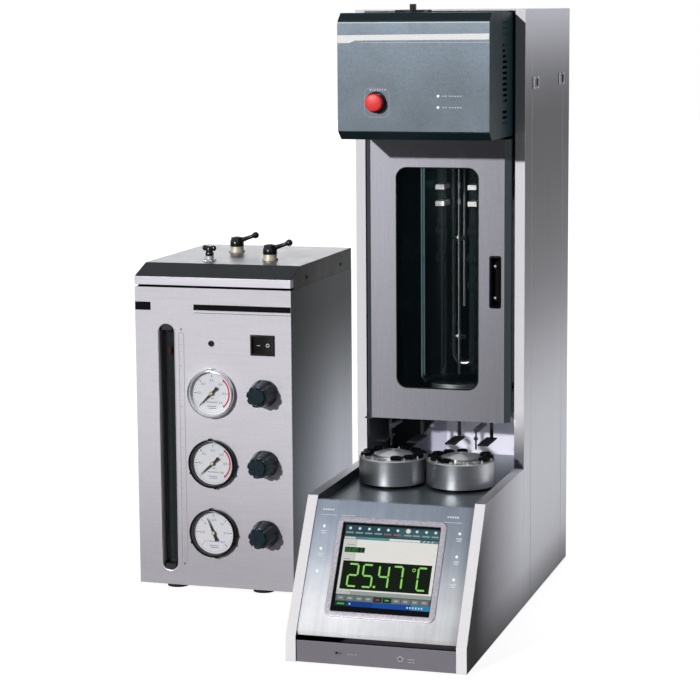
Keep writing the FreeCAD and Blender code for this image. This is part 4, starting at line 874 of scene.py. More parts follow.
class TESTER_OT_head(TesterOperator, bpy.types.Operator):
    """Head cover, its front plate with the printed stripe, top cap and button"""

    bl_idname = "tester.head"
    bl_label = "Head"

    def execute(self, context):
        dress("head_cover", painted("head_satin", self.paint.head, 0.32).set(
            Specular_IOR_Level=0.08), self.sizes.panel_edge)
        dress("head_panel", self.plate_finish(), SHEET_EDGE)
        dress("top_cap", moulded("cap_black", (0.02, 0.02, 0.022), 0.4))
        self.stripe()
        self.button()
        self.gauze()
        return {"FINISHED"}

    def gauze(self):
        """A dark sheet inside the head's right side, behind the vent slots, that stands in for
        the shade inside the head: a rounded sheet with a fine weave.
        """
        _, deep, tall = extent("head_cover")
        _, y, z = middle("head_cover")
        origin = (corners("head_cover")[1][0] - 0.0045, y + 0.010, z)
        profile = [(0, 0), (0, 0.0006), (-0.001, 0.0010), (-0.03, 0.0010)]
        points, faces = framed((deep - 0.030, tall - 0.016, 0.004), profile, origin, BACK, UP,
                               RIGHT)
        rim = len(points) // len(profile)
        faces = faces.tolist() + [list(range(len(points) - rim, len(points)))]
        made = moulded("gauze_black", (0.002, 0.002, 0.002), 0.8)
        weave = made.add("TexWave", "Fac", {"Scale": 900,
                                            "Vector": made.add("TexCoord", "Object")})
        piece("head_gauze", (points, faces), made.bump(weave, 0.0001, 0.4))

    def plate_finish(self):
        """Tinted metal with a fine speckle, paler towards the upper edge as a painted highlight.
        """
        made = Finish("head_speckle", self.paint.head_plate, 0.48, 0.15)
        # Painted highlight: paler towards the plate's upper edge.
        made.graded("Z", ((0.60, 0.9), (0.66, 1.0), (0.70, 1.25), (0.735, 1.7)))
        made.speckle(18, 0.14).speckle(620, 0.16)
        made.bump(made.noise(620), 0.00003, 0.15)
        return made.rough(made.noise(300), 0.42, 0.55)

    def stripe(self):
        """White stripe with its step, the thin line under it and small marks by the lamps."""
        half = extent("head_panel")[0] / 2 / MM - 0.3
        shapes = [
            shape([(-half, 703.6), (-half + 14, 703.6), (-half + 22, 706.5), (half, 707.3),
                   (half, 714.2), (-half, 712.6)], (0.92, 0.92, 0.93)),
            bar(-half + 27, 703.6, half, 704.4, (0.52, 0.53, 0.56)),
            bar(-half, 726.6, half, 727.6, (0.75, 0.76, 0.78)),
        ]
        outline, normals = round_outline(30, 34, 7)
        shapes.append(ribbon(outline + (-43.5, 634), normals, 0.35, (0.55, 0.5, 0.52)))
        for index in range(7):
            shapes += dashes([-52.5 + index * 3.0], 1.6 if index % 3 else 2.2, 648.2, 649.7,
                             (0.62, 0.62, 0.66))
        for z in (628.8, 642.0):
            starts = [35.5 + index * 3.3 + (1.6 if index > 1 else 0) for index in range(7)]
            shapes += dashes(starts, 2.0, z - 0.7, z + 0.7, (0.60, 0.61, 0.63))
        origin = (middle("head_panel")[0], corners("head_panel")[0][1], 0.0)
        # The head's print glows faintly, a painted light.
        picture("head_marks", shapes, origin, inked("head_ink_painted_glow", 0.10, 0.4))

    def button(self):
        """Red mushroom cap: a turned profile with a rounded rim and a shallow dish, and a black
        collar round it that leaves it free."""
        x, _, z = middle("push_button")
        width, depth, _ = extent("push_button")
        radius = width / 2
        rim, skirt, stem = 0.0022, 0.009, 0.0080
        profile = [(0, 0.0007), (radius * 0.55, 0.0006), (radius * 0.74, 0.0001)]
        profile += [(radius - rim + across, down - rim) for across, down in arc(rim, 7)]
        profile += [(radius, 0.0004 - skirt), (radius - 0.0004, -skirt), (stem, -skirt),
                    (stem, -depth), (0, -depth)]
        made = Finish("button_red", (0.95, 0.034, 0.036), 0.42).mottle(260, 0.08)
        piece("button_cap", turned(profile, (x, corners("push_button")[0][1], z), "Y", 64),
              made.rough(made.noise(220), 0.38, 0.5), "push_button",
              "push_button")
        collar = Finish("button_collar_black", (0.006, 0.006, 0.007), 0.35)
        ring = np.array([(0, -0.0002), (0, 0.0020), (0.0007, 0.0025), (0.0016, 0.0018),
                         (0.0020, 0.0002), (0.0020, -0.0002), (0, -0.0002)])
        front = corners("head_panel")[0][1] - 0.0002
        piece("button_collar", turned(ring + (radius + COLLAR_GAP, 0), (x, front, z), "Y", 56),
              collar.rough(collar.noise(300), 0.3, 0.45))


class TESTER_OT_screen(TesterOperator, bpy.types.Operator):
    """Sloping control panel with the bright frame and the lit display"""

    bl_idname = "tester.screen"
    bl_label = "Screen"

    def execute(self, context):
        angle = math.radians(SCREEN_SLOPE)
        self.up = BACK * math.cos(angle) + UP * math.sin(angle)
        self.out = np.cross(RIGHT, self.up)
        self.centre = on_main(SCREEN_FOOT) + self.up * SCREEN_RISE
        self.centre[0] = middle("screen_bezel")[0]
        dress("control_panel", self.panel_finish(), SHEET_EDGE)
        glass = Finish("screen_black", (0.004, 0.005, 0.006), 0.08)
        dress("touch_screen", glass.rough(glass.noise(200), 0.06, 0.11))
        self.bezel()
        self.display()
        self.marks()
        return {"FINISHED"}

    def panel_finish(self):
        """Brushed pale blue metal with dull streaks; painted reflection and shade make it lighter
        down the slope and to the left, and darker at its sides.
        """
        made = Finish("panel_brushed_painted_light", self.paint.panel, 0.36, 0.3)
        pale = np.array((0.93, 0.94, 0.98))
        # Painted reflection: graded up the slope.
        made.graded("Z", ((0.028, pale * 0.6), (0.040, pale * 1.02), (0.075, pale),
                          (0.12, 1.35), (0.18, 0.9)))
        # Painted light from the left, painted shade to the right.
        made.shade(made.ramp("X", MAIN[0] - 0.09, MAIN[0] + 0.10), 1.06, 0.70)
        # Painted shade at the panel's sides.
        made.shade(made.near("X", MAIN[0] - 0.003, 0.086, 0.010), 0.72, 1.0)
        made.speckle(1.0, 0.05, (260, 8, 8)).speckle(26, 0.09)
        return made.grain((900, 12, 12), 0.30, 0.44)

    def bezel(self):
        """Satin bright frame: a rounded section carried round the screen's opening."""
        inset = 0.0067
        profile = [(-inset, -0.0014), (-inset, 0.0002), (-inset + 0.0004, 0.0005),
                   (-0.0014, 0.0005), (-0.0005, 0.0003), (0, -0.0003), (0, -0.0015),
                   (-inset, -0.0014)]
        made = brushed("bezel_satin", (0.50, 0.48, 0.54), 0.4, 0.35, (420, 420, 420), 0.30)
        piece("display_frame", framed((0.1309, 0.1219, 0.0085, 10), profile, self.centre,
                                      RIGHT, self.up, self.out),
              made, "cabinet", "screen_bezel")

    def display(self):
        """The picture on the screen: tool bar, two readings, status row and task bar."""
        dim, green = (0.05, 0.24, 0.05), (0.27, 0.66, 0.15)
        shapes = bars((-58.6, -53.4, 58.6, 53.4, (0.004, 0.004, 0.005), 1),
                      (-54.6, -33.0, 58.0, 50.6, (0.74, 0.74, 0.70), 2),
                      (-54.6, -33.0, -38.0, 33.6, (0.58, 0.59, 0.56), 3))
        shapes += self.tool_bar()
        shapes += bars((-52.0, 17.4, -28.0, 23.8, (0.010, 0.030, 0.012), 4))
        shapes += self.reading("88.80C", (-50.6, -47.0, -42.4, -38.8, -32.4), 18.4,
                               (2.2, 4.2, 0.6), dim, bar(-42.6, 18.4, -42.0, 19.0, dim, 5))
        shapes += bars((-50.5, 26.4, -41, 27.3, (0.30, 0.27, 0.28), 4),
                       (-51.6, 8.8, -44, 9.7, (0.30, 0.27, 0.28), 4),
                       (-51.6, -27.2, 54.4, 7.2, (0.007, 0.012, 0.007), 4))
        large, foot = (11.2, 26.6, 2.1), -23.2
        shapes += self.reading(self.sizes.reading, (-43.5, -26.0, -6.8, 9.6), foot, large, green,
                               disc(-10.6, -22.6, 1.5, green, 5, 16))
        shapes.append(band(33.8, 0.4, 1.3, 2.1, 0, 360, green, 5, 24))
        shapes += seven_segment("C", 39.2, foot, 10.4, *large[1:], green, 5)
        shapes += bars((-54.4, -34.0, 58.0, -29.0, (0.30, 0.33, 0.31), 3),
                       (-54.4, -41.6, 58.0, -33.6, (0.085, 0.11, 0.115), 3),
                       (-54.4, -47.4, 58.2, -41.4, (0.008, 0.050, 0.25), 3),
                       (-54.4, -47.4, -40.0, -41.6, (0.008, 0.045, 0.020), 4),
                       (-9.5, -47.4, 36.0, -41.4, (0.010, 0.070, 0.33), 4),
                       (36.0, -47.4, 58.2, -41.4, (0.03, 0.21, 0.42), 4))
        lit = {4: (0.42, 0.04, 0.06), 5: (0.10, 0.42, 0.12)}
        for index in range(10):
            x = -53.0 + index * 11.0
            tone = (0.012, 0.030, 0.016) if index in lit else (0.16, 0.19, 0.19)
            shapes += bars((x, -40.6, x + 9.6, -34.8, tone, 4),
                           (x + 2.4, -38.6, x + 7.0, -36.8, lit.get(index, (0.38, 0.42, 0.42)),
                            5))
        shapes += dashes(31 + 3.4 * np.arange(6), 1.5, -45.6, -43.4, (0.62, 0.70, 0.74), 5)
        shapes += bars((-37.5, -45.4, -35.6, -43.4, (0.45, 0.55, 0.70), 5),
                       (-51.5, -45.6, -43.0, -43.8, (0.12, 0.36, 0.16), 5))
        picture("display_picture", shapes, self.centre + self.out * 0.00002,
                inked("display_light", 0.22, 0.22), up=self.up, lift=0.000025)

    def tool_bar(self):
        """A teal row of ten small signs, each with a line under it, over a row of tabs."""
        pale, sign = (0.42, 0.60, 0.62), (0.72, 0.80, 0.80)
        shapes = bars((-54.6, 36.6, 58.0, 50.6, (0.030, 0.070, 0.085), 4),
                      (8.0, 38.0, 58.0, 48.6, (0.050, 0.110, 0.125), 5),
                      (-54.6, 33.4, 58.0, 36.8, (0.12, 0.22, 0.26), 4),
                      (-54.0, 33.9, -41.0, 36.2, (0.52, 0.56, 0.56), 5),
                      (-26.0, 33.9, -1.5, 36.0, (0.07, 0.33, 0.27), 5),
                      (-0.5, 33.8, 36.0, 36.5, (0.68, 0.71, 0.71), 5))
        for index, x in enumerate((-49.0, -37.6, -26.2, -14.8, -3.4, 8.0, 20.6, 31.0, 42.2,
                                   53.2)):
            size, tone = (3.0, (0.62, 0.66, 0.52)) if index == 6 else (1.8, pale)
            line = (0.30, 0.12, 0.13) if index in (4, 5) else (0.26, 0.32, 0.33)
            shapes += [disc(x, 46.8, size, tone, 6, 14),
                       bar(x - 0.9, 45.9, x + 0.9, 47.9, sign, 7),
                       bar(x - 4.4, 40.6, x + 4.4, 42.4, line, 6)]
        return shapes + [stroke((x, 34.2), (x + 2, 36.2), 0.7, sign, 5) for x in (40, 45, 50)]

    def reading(self, marks, places, foot, size, colour, point):
        """Seven-segment numerals at their places, with the decimal point in its turn."""
        shapes, places = [], iter(places)
        for mark in marks:
            shapes += [point] if mark == "." else seven_segment(mark, next(places), foot, *size,
                                                                colour, 5)
        return shapes

    def marks(self):
        """Small pale dashes where the panel's lamps and corners are labelled, and the signs on
        the fascia."""
        pale, line = (0.86, 0.88, 0.92), (0.72, 0.76, 0.82)
        shapes = []
        for x, y in ((-81.3, 41.3), (-81.3, 13.5), (81.3, 41.3), (81.3, 13.5), (81.3, -14.0)):
            shapes += bars((x - 3.4, y, x + 3.4, y + 1.2, pale),
                           (x - 2.6, y - 2.6, x + 2.6, y - 1.4, pale))
        for x, y in ((-86, 67.5), (64, 66.5)):
            shapes += dashes(x + 2.9 * np.arange(5), 2.0, y, y + 2.0, pale)
        shapes += bars((-88, 61.5, -68, 62.2, line), (-62, 61.8, -46, 62.5, line),
                       (60, 60.6, 82, 61.3, line))
        ink = inked("panel_ink", roughness=0.4)
        origin = np.array([MAIN[0], *self.centre[1:]]) - self.out * 0.0015
        picture("panel_marks", shapes, origin, ink, up=self.up)
        house = np.array([(26.6, 11.2), (26.6, 14.4), (24.6, 14.4), (29.0, 17.6), (33.4, 14.4),
                          (31.4, 14.4), (31.4, 11.2)])
        inner = (house - house.mean(0)) * 0.8 + house.mean(0)
        black = (0.01, 0.01, 0.01)
        shapes = [shape([(-47.5, 13.8), (-43.4, 15.7), (-47.5, 17.6)], black),
                  bar(-44.4, 15.2, -40.6, 16.1, black),
                  shape(house, (0.80, 0.79, 0.82)), shape(inner, (0.19, 0.18, 0.215), 2)]
        shapes += dashes((-33.0, -28.8, -24.6), 2.0, 14.4, 15.4, (0.50, 0.49, 0.52))
        for z in (10.6, 13.9):
            shapes.append(bar(38.0, z, 46.0, z + 0.6, (0.62, 0.61, 0.64)))
        picture("fascia_marks", shapes, (MAIN[0], corners("base_pan")[0][1], 0.0), ink)


# Carousels, vials and needles

class TESTER_OT_carousels(TesterOperator, bpy.types.Operator):
    """Turned drums, the vials in their pockets, and the needles over them"""

    bl_idname = "tester.carousels"
    bl_label = "Carousels"

    def execute(self, context):
        steel = self.drum_finish()
        glass = thin_glass("vial_glass_clear", (0.62, 0.68, 0.68), 0.10, 0.8)
        cap = moulded("vial_cap_black", (0.003, 0.003, 0.004), 0.22).set(
            Specular_IOR_Level=0.06)
        pins = brushed("pin_steel", (0.60, 0.60, 0.61), 0.3, 0.7, (700, 700, 90))
        for side, name in ((-1, "left"), (1, "right")):
            dress("carousel_" + name, steel, 0.0)
            self.vials(side, name, glass, cap, pins, steel)
            dress("needle_" + name, painted("needle_dark_" + name, (0.03, 0.03, 0.033), 0.3,
                                            0.6))
        return {"FINISHED"}

    def drum_finish(self):
        """Turned steel: fine rings up the drum's side, two painted highlights as bright sectors
        across its top, where the cosine of twice the turn about the drum's axis is low, and a
        painted shadow along the drum's foot. Both drums are the same, because the place across is
        taken from the cabinet's middle outwards."""
        made = Finish("drum_turned_painted_light", (0.35, 0.36, 0.38), 0.32, 1.0)
        x, y, _ = middle("carousel_left")
        outwards = made.math("ABSOLUTE", made.math("SUBTRACT", "X", MAIN[0]))
        turn = made.math("ARCTAN2", made.math("SUBTRACT", "Y", y),
                         made.math("SUBTRACT", outwards, MAIN[0] - x))
        wave = made.math("COSINE", made.times(turn, 2.0))
        top = made.ramp("nZ", 0.6, 0.8)
        made.tint(top, (0.30, 0.31, 0.33))
        # Painted highlights: two bright sectors across the top.
        made.tint(made.times(top, made.ramp(wave, 0.1, -1.0, smooth=True)), (0.92, 0.93, 0.95))
        made.set(Metallic=made.ramp(top, 0, 1, 1.0, 0.25))
        # Painted shadow: a dark line at the drum's foot.
        made.tint(made.ramp("Z", 0.1700, 0.1696), (0.006, 0.006, 0.007))
        rings = (2, 2, 3400)
        made.speckle(1.0, 0.09, rings)
        return made.rough(made.noise(1.0, rings, 2), 0.30, 0.36)

    def vials(self, side, name, glass, cap, pins, steel):
        """Glass vials in the pockets: a turned wall, and ring caps with a membrane on all but
        three. Small pins stand between them, and a shallow crown fills the drum's middle."""
        x, y, _ = middle("carousel_" + name)
        top_face = corners("carousel_" + name)[1][2]
        floor, rim = (corner[2] for corner in corners("vials_" + name))
        index = np.arange(POCKETS)
        step = 360 / POCKETS
        angle = np.radians(90.0 - side * FIRST_POCKET - side * index * step)
        places = POCKET_CIRCLE * circle(angle) + (x, y, floor)
        capped = places[~np.isin(index, OPEN_VIALS)]
        body = "carousel_" + name
        top = rim - floor - 0.003
        wall = [(0, 0), (0.0058, 0), (0.0062, 0.0005), (0.0062, top - 0.0004), (0.0059, top),
                (0.0055, top), (0.0053, top - 0.0004), (0.0053, 0.0012), (0, 0.0009)]
        piece("vial_glasses_" + name, copies(turned(wall, (0, 0, 0), "Z", 28), places), glass,
              body, "vials_" + name, 50)
        radius = self.sizes.vial_cap
        high = top + 0.0038
        ring = [(0.0035, top + 0.0004), (0.0038, top), (radius - 0.0003, top),
                (radius, top + 0.0004), (radius, high - 0.0009), (radius - 0.0007, high),
                (0.0044, high), (0.0036, high - 0.0007), (0.0035, top + 0.0004)]
        piece("vial_caps_" + name, copies(turned(ring, (0, 0, 0), "Z", 28), capped), cap,
              body)
        membrane = [(0, top + 0.0012), (0.0036, top + 0.0012), (0.0036, top + 0.0008),
                    (0, top + 0.0008)]
        piece("vial_seals_" + name, copies(turned(membrane, (0, 0, 0), "Z", 20), capped),
              moulded("seal_dark_" + name, (0.03, 0.03, 0.03), 0.25), body)
        pin = [(0, -0.004), (0.0009, -0.004), (0.0009, 0.0004), (0.0006, 0.0008), (0, 0.0009)]
        between = PIN_CIRCLE * circle(angle + math.radians(step / 2)) + (x, y, top_face)
        piece("index_pins_" + name, copies(turned(pin, (0, 0, 0), "Z", 16), between), pins,
              body)
        reach, rise = 0.0243, 0.0042
        crown = [(0, -0.003), (reach, -0.003)]
        crown += [(reach * r, 0.0002 + rise * (1 - r ** 2.5)) for r in np.linspace(1, 0, 16)]
        piece("drum_crown_" + name, turned(crown, (x, y, top_face), "Z", 96), steel,
              body)


# Bath and door

class TESTER_OT_bath(TesterOperator, bpy.types.Operator):
    """Glass jar, measuring tubes, clips, stirrer and heater"""

    bl_idname = "tester.bath"
    bl_label = "Bath"

    def execute(self, context):
        self.jar()
        dress("viscometer_tubes", thin_glass("tube_glass_clear", (0.50, 0.64, 0.66), 0.03, 0.6,
                                             0.3, 0.35))
        dress("tube_clips", moulded("clip_white", (0.80, 0.80, 0.78), 0.5), SHEET_EDGE)
        dress("stirrer", brushed("bath_steel", (0.74, 0.74, 0.74), 0.16, 1.0, (900, 900, 60),
                                 0.05))
        dress("bath_heater", brushed("heater_steel_dull", (0.32, 0.33, 0.34), 0.3, 1.0,
                                     (900, 900, 60), 0.08))
        return {"FINISHED"}

    def jar(self):
        """Straight jar with a rounded foot and lip, as one closed turned wall. Where an upright
        wall is seen end-on, its glass is denser and glows teal, a painted light."""
        made = coated_glass("jar_glass_clear", (0.20, 0.32, 0.34))
        facing = made.add("LayerWeight", "Facing", {"Blend": 0.15})
        upright = made.ramp(made.math("ABSOLUTE", "nZ"), 0.6, 0.2)
        wall = made.times(made.ramp(facing, 0.27, 0.36, smooth=True), upright)
        # Painted light: the end-on walls glow teal.
        made.set(Emission_Color=(0.30, 0.50, 0.54),
                 Emission_Strength=made.ramp(wall, 0, 1, 0.0, 0.40),
                 Alpha=made.ramp(wall, 0, 1, 0.006, 0.5))
        x, y, _ = middle("bath_jar")
        width, _, tall = extent("bath_jar")
        radius = width / 2
        thick, foot, hollow = 0.003, 0.005, 0.004
        profile = [(0, 0)] + [(radius - foot + across, foot - down)
                              for across, down in arc(foot, 6)]
        profile += [(radius, tall - 0.001), (radius - 0.0008, tall),
                    (radius - thick + 0.0008, tall), (radius - thick, tall - 0.001)]
        profile += [(radius - thick - hollow + across, 0.008 - down)
                    for down, across in arc(hollow, 6)]
        profile += [(0, 0.004)]
        piece("jar_wall", turned(profile, (x, y, corners("bath_jar")[0][2]), "Z", 96), made,
              "cabinet", "bath_jar")


class TESTER_OT_door(TesterOperator, bpy.types.Operator):
    """Door pan with its window pane, seal, finger grip and hinges"""

    bl_idname = "tester.door"
    bl_label = "Door"

    def execute(self, context):
        dress("door_shell", self.pan_finish(), SHEET_EDGE)
        dress("door_hinges", brushed("hinge_steel", (0.05, 0.05, 0.055), 0.35, 1.0))
        pane = Finish("pane_tinted", (0.004, 0.012, 0.016), 0.03, Specular_IOR_Level=0.08)
        pane.rough(pane.noise(30), 0.02, 0.05)
        smear = pane.noise(22, (1, 1, 2.2), 5)
        dress("door_glass", pane.set(Alpha=pane.ramp(smear, 0.55, 0.80, 0.08, 0.22)))
        self.seal()
        self.grip()
        return {"FINISHED"}

    def pan_finish(self):
        """Satin lavender face with painted shade: darker to the right and low down, and grey side
        bevels.
        """
        made = Finish("door_satin_painted_shade", self.paint.door, 0.40, Specular_IOR_Level=0.15)
        # Painted shade: darker low down, lighter at the top.
        made.graded("Z", ((0.23, 0.62), (0.31, 0.66), (0.44, 0.92), (0.60, 1.12)))
        # Painted shade to the right.
        made.shade(made.ramp("X", MAIN[0] - 0.07, MAIN[0] + 0.08), 1.08, 0.72)
        made.speckle(1.0, 0.05, (700, 700, 14)).speckle(520, 0.05)
        # Painted shade on the side bevels, which face sideways.
        made.tint(made.ramp(made.math("ABSOLUTE", "nX"), 0.3, 0.5), (0.048, 0.060, 0.068))
        return made.grain((700, 700, 14), 0.36, 0.46)

    def seal(self):
        """Thin dark rubber section carried round the window's edge."""
        width, _, height = extent("door_glass") - 0.014
        x, _, z = middle("door_glass")
        profile = [(0.0, 0.0019), (0.0, -0.0004), (-0.0007, -0.0006), (-0.0014, 0.0),
                   (-0.0014, 0.0019), (0.0, 0.0019)]
        piece("window_seal", framed((width, height, 0.014, 12), profile,
                                    (x, corners("door_shell")[0][1], z)),
              moulded("seal_black", (0.010, 0.012, 0.013), 0.5), "door")

    def grip(self):
        """Recessed black grip: a rounded rim round a trough, with two bright screws."""
        width, _, height = extent("door_handle") - 0.0004
        x, _, z = middle("door_handle")
        front, deep = corners("door_handle")[0][1], 0.0085
        rim = [(-0.0018, 0.0008), (-0.0004, 0.0008), (0.0, 0.0005), (0.0, 0.0001),
               (-0.0006, -0.0001)]
        trough = [(-0.0006, -0.0001), (-0.0026, -0.0001), (-0.0034, 0.0005), (-0.0036, deep),
                  (-0.0074, deep)]
        parts = [framed((width, height, 0.0026, 6), profile, (x, front + 0.0001, z))
                 for profile in (trough, rim)]
        made = moulded("grip_black", (0.002, 0.002, 0.003), 0.35).set(Specular_IOR_Level=0.05)
        piece("door_grip", parts, made, "door", "door_handle")
        screw = [(0, 0.0009), (0.0012, 0.0008), (0.0019, 0.0002), (0.0019, -0.0008)]
        piece("grip_screws", [turned(screw, (x, front + 0.0006, z + rise), "Y", 24)
                              for rise in (-0.0195, 0.0195)],
              brushed("screw_bright", (0.42, 0.42, 0.43), 0.25, 1.0, (800, 800, 800)),
              "door")


# Supply cabinet

class TESTER_OT_supply(TesterOperator, bpy.types.Operator):
    """Shell, front panel, lid, bright strip and printed band of the supply cabinet"""

    bl_idname = "tester.supply"
    bl_label = "Supply cabinet"

    def execute(self, context):
        dress("supply_shell", self.shell_finish())
        dress("supply_front", self.front_finish(), SHEET_EDGE)
        dress("supply_lid", self.lid_finish(), self.sizes.panel_edge, 15.0)
        dress("lid_trim", brushed("trim_satin", (0.56, 0.55, 0.61), 0.35, 0.6, (9, 800, 800)),
              SHEET_EDGE)
        dress("supply_tank", moulded("tank_pale", (0.7, 0.7, 0.66), 0.5))
        dress("valve_bodies", self.brass())
        self.band()
        self.screws()
        return {"FINISHED"}

    def shell_finish(self):
        """Dark sides that turn pale and dull low down and towards the back, a painted reflection.
        """
        made = Finish("supply_shell_satin_painted_light", self.paint.supply_side, 0.32, 0.6)
        # Painted reflection: paler low down and towards the back.
        pale = made.times(made.ramp("Z", 0.37, 0.10, smooth=True),
                          made.ramp("Y", SUPPLY[1] - 0.02, SUPPLY[1] + 0.20, 0.10, 1.0))
        made.tint(pale, (0.74, 0.77, 0.86))
        made.set(Metallic=made.ramp(pale, 0, 0.6, 0.15, 0.65),
                 Specular_IOR_Level=made.ramp(pale, 0, 0.6, 0.10, 0.5))
        made.speckle(1.0, 0.03, UPRIGHT_GRAIN)
        return made.rough(made.noise(1.0, UPRIGHT_GRAIN), 0.30, 0.34)

    def front_finish(self):
        """Satin lavender panel with a fine crosswise grain, darker towards its foot as painted
        shade.
        """
        made = Finish("supply_front_satin_painted_shade", self.paint.supply, 0.42, 0.12)
        # Painted shade: darker towards the foot.
        made.graded("Z", ((0.03, 0.63), (0.14, 0.92), (0.25, 1.08), (0.39, 1.0)))
        made.speckle(1.0, 0.04, (12, 12, 700)).speckle(600, 0.04)
        return made.grain((12, 12, 700), 0.38, 0.48)

    def brass(self):
        """Pale turned brass on the lid, dark fittings behind the front, and a steel vent."""
        made = brushed("valve_brass_pale", (0.74, 0.70, 0.55), 0.42, 0.45, (40, 40, 900))
        made.tint(made.ramp("Y", SUPPLY[1] + 0.088, SUPPLY[1] + 0.086), (0.62, 0.62, 0.62))
        return made.tint(made.ramp("Z", 0.392, 0.390), (0.012, 0.012, 0.013))

    def lid_finish(self):
        """Pale top that brightens to the left and back, dark bevel and sides, told apart by how
        steep the surface is. The top's paler colour and its brightening are painted light."""
        made = painted("lid_satin_painted_light", self.paint.lid, 0.34).set(Specular_IOR_Level=0.12)
        # Painted light: the flat top is paler than the steep faces.
        top = made.ramp("nZ", 0.965, 0.985)
        made.tint(top, self.paint.lid_top)
        # Painted light: the top brightens to the left and back.
        for axis, start, stop, share in (("X", SUPPLY[0] + 0.06, SUPPLY[0] - 0.09, 1.7),
                                         ("Y", SUPPLY[1] + 0.14, SUPPLY[1] + 0.36, 2.1)):
            made.tint(made.times(top, made.ramp(axis, start, stop, smooth=True)),
                      tuple(channel * share for channel in self.paint.lid_top))
        return made.speckle(50, 0.05)

    def band(self):
        """Black band in two parts, the thin line under it, and the level scale's outline."""
        black, grey, pale = (0.004, 0.004, 0.005), (0.22, 0.215, 0.24), (0.80, 0.79, 0.83)
        shapes = bars((-104.8, 363.6, -83.5, 374.2, black), (-25.2, 365.2, 104.8, 372.6, black),
                      (-25.2, 361.4, 104.8, 362.2, grey), (-25.2, 362.4, 104.8, 363.4, pale))
        outline, normals = round_outline(6.6, 300, 3.2, 10)
        shapes.append(ribbon(outline + (-42.4, 186), normals, 0.5, grey))
        shapes.append(ribbon(outline * (0.8, 0.998) + (-42.2, 186), normals, 0.3, pale))
        shapes.append(bar(-43.4, 338.5, -41.6, 341.5, (0.16, 0.16, 0.17)))
        shapes.append(shape([(-44.6, 34.5), (-41.2, 34.5), (-42.9, 31.0)], (0.14, 0.14, 0.15)))
        shapes += bars(*((-44.4, z, -42.6, z + 0.4, grey) for z in 52 + 26.8 * np.arange(11)))
        picture("supply_marks", shapes, SUPPLY, inked("supply_ink", roughness=0.35))

    def screws(self):
        """Small countersunk screws in both sides of the lid's skirt."""
        profile = [(0, 0.0002), (0.0012, 0.0001), (0.0019, 0.0006), (0.0024, 0.0001),
                   (0.0024, -0.0005)]
        parts = []
        points, faces = turned(profile, (0, 0, 0), "X", 20)
        for place in LID_SCREWS:
            _, y, z = on_supply((0, *place))
            parts.append((points + (LID[1][0], y, z), faces))
            parts.append((points * (-1, 1, 1) + (LID[0][0], y, z), faces))
        piece("lid_screws", parts, moulded("screw_dark", (0.01, 0.01, 0.011), 0.4))


class TESTER_OT_level(TesterOperator, bpy.types.Operator):
    """Level window with its pale rim, sight tube and float"""

    bl_idname = "tester.level"
    bl_label = "Level window"

    def execute(self, context):
        self.rim()
        self.tube()
        dress("level_float", moulded("float_dark", (0.05, 0.012, 0.010), 0.35))
        return {"FINISHED"}

    def rim(self):
        """A thin pale section carried round the slot's edge, and the dark trough behind, whose
        left wall is pale with painted light."""
        origin = on_supply(SLOT_SPOT)
        slot = (0.0216, 0.323, 0.0107, 16)
        edge = [(0.0, 0.0018), (0.0, -0.0002), (0.0007, -0.0004), (0.0012, -0.0001),
                (0.0012, 0.0001)]
        piece("slot_rim", framed(slot, edge, origin),
              painted("slot_rim_pale", (0.66, 0.65, 0.70), 0.35, 0.3))
        made = painted("trough_dark", (0.030, 0.032, 0.034), 0.35, 0.2)
        # Painted light on the trough's left wall.
        left = made.ramp("X", origin[0] - 0.0095, origin[0] - 0.0103)
        made.tint(left, (0.40, 0.40, 0.44)).set(Metallic=made.ramp(left, 0, 1, 0.2, 0.8))
        wall = [(-0.0001, 0.0012), (-0.0001, 0.019), (-0.0106, 0.019)]
        trough = piece("slot_trough", framed(slot, wall, origin), made,
                       turn=False)
        solid = trough.modifiers.new("wall", "SOLIDIFY")
        solid.thickness = 0.0008
        solid.offset = 1.0

    def tube(self):
        """Clear sight tube as one closed turned wall."""
        x, y, _ = middle("level_tube")
        width, _, tall = extent("level_tube")
        radius, wall = width / 2, 0.0009
        profile = [(radius, 0), (radius, tall), (radius - wall, tall), (radius - wall, 0),
                   (radius, 0)]
        piece("sight_tube", turned(profile, (x, y, corners("level_tube")[0][2]), "Z", 32),
              thin_glass("sight_glass", (0.12, 0.15, 0.16), 0.03, 0.6),
              "cabinet", "level_tube", 50)


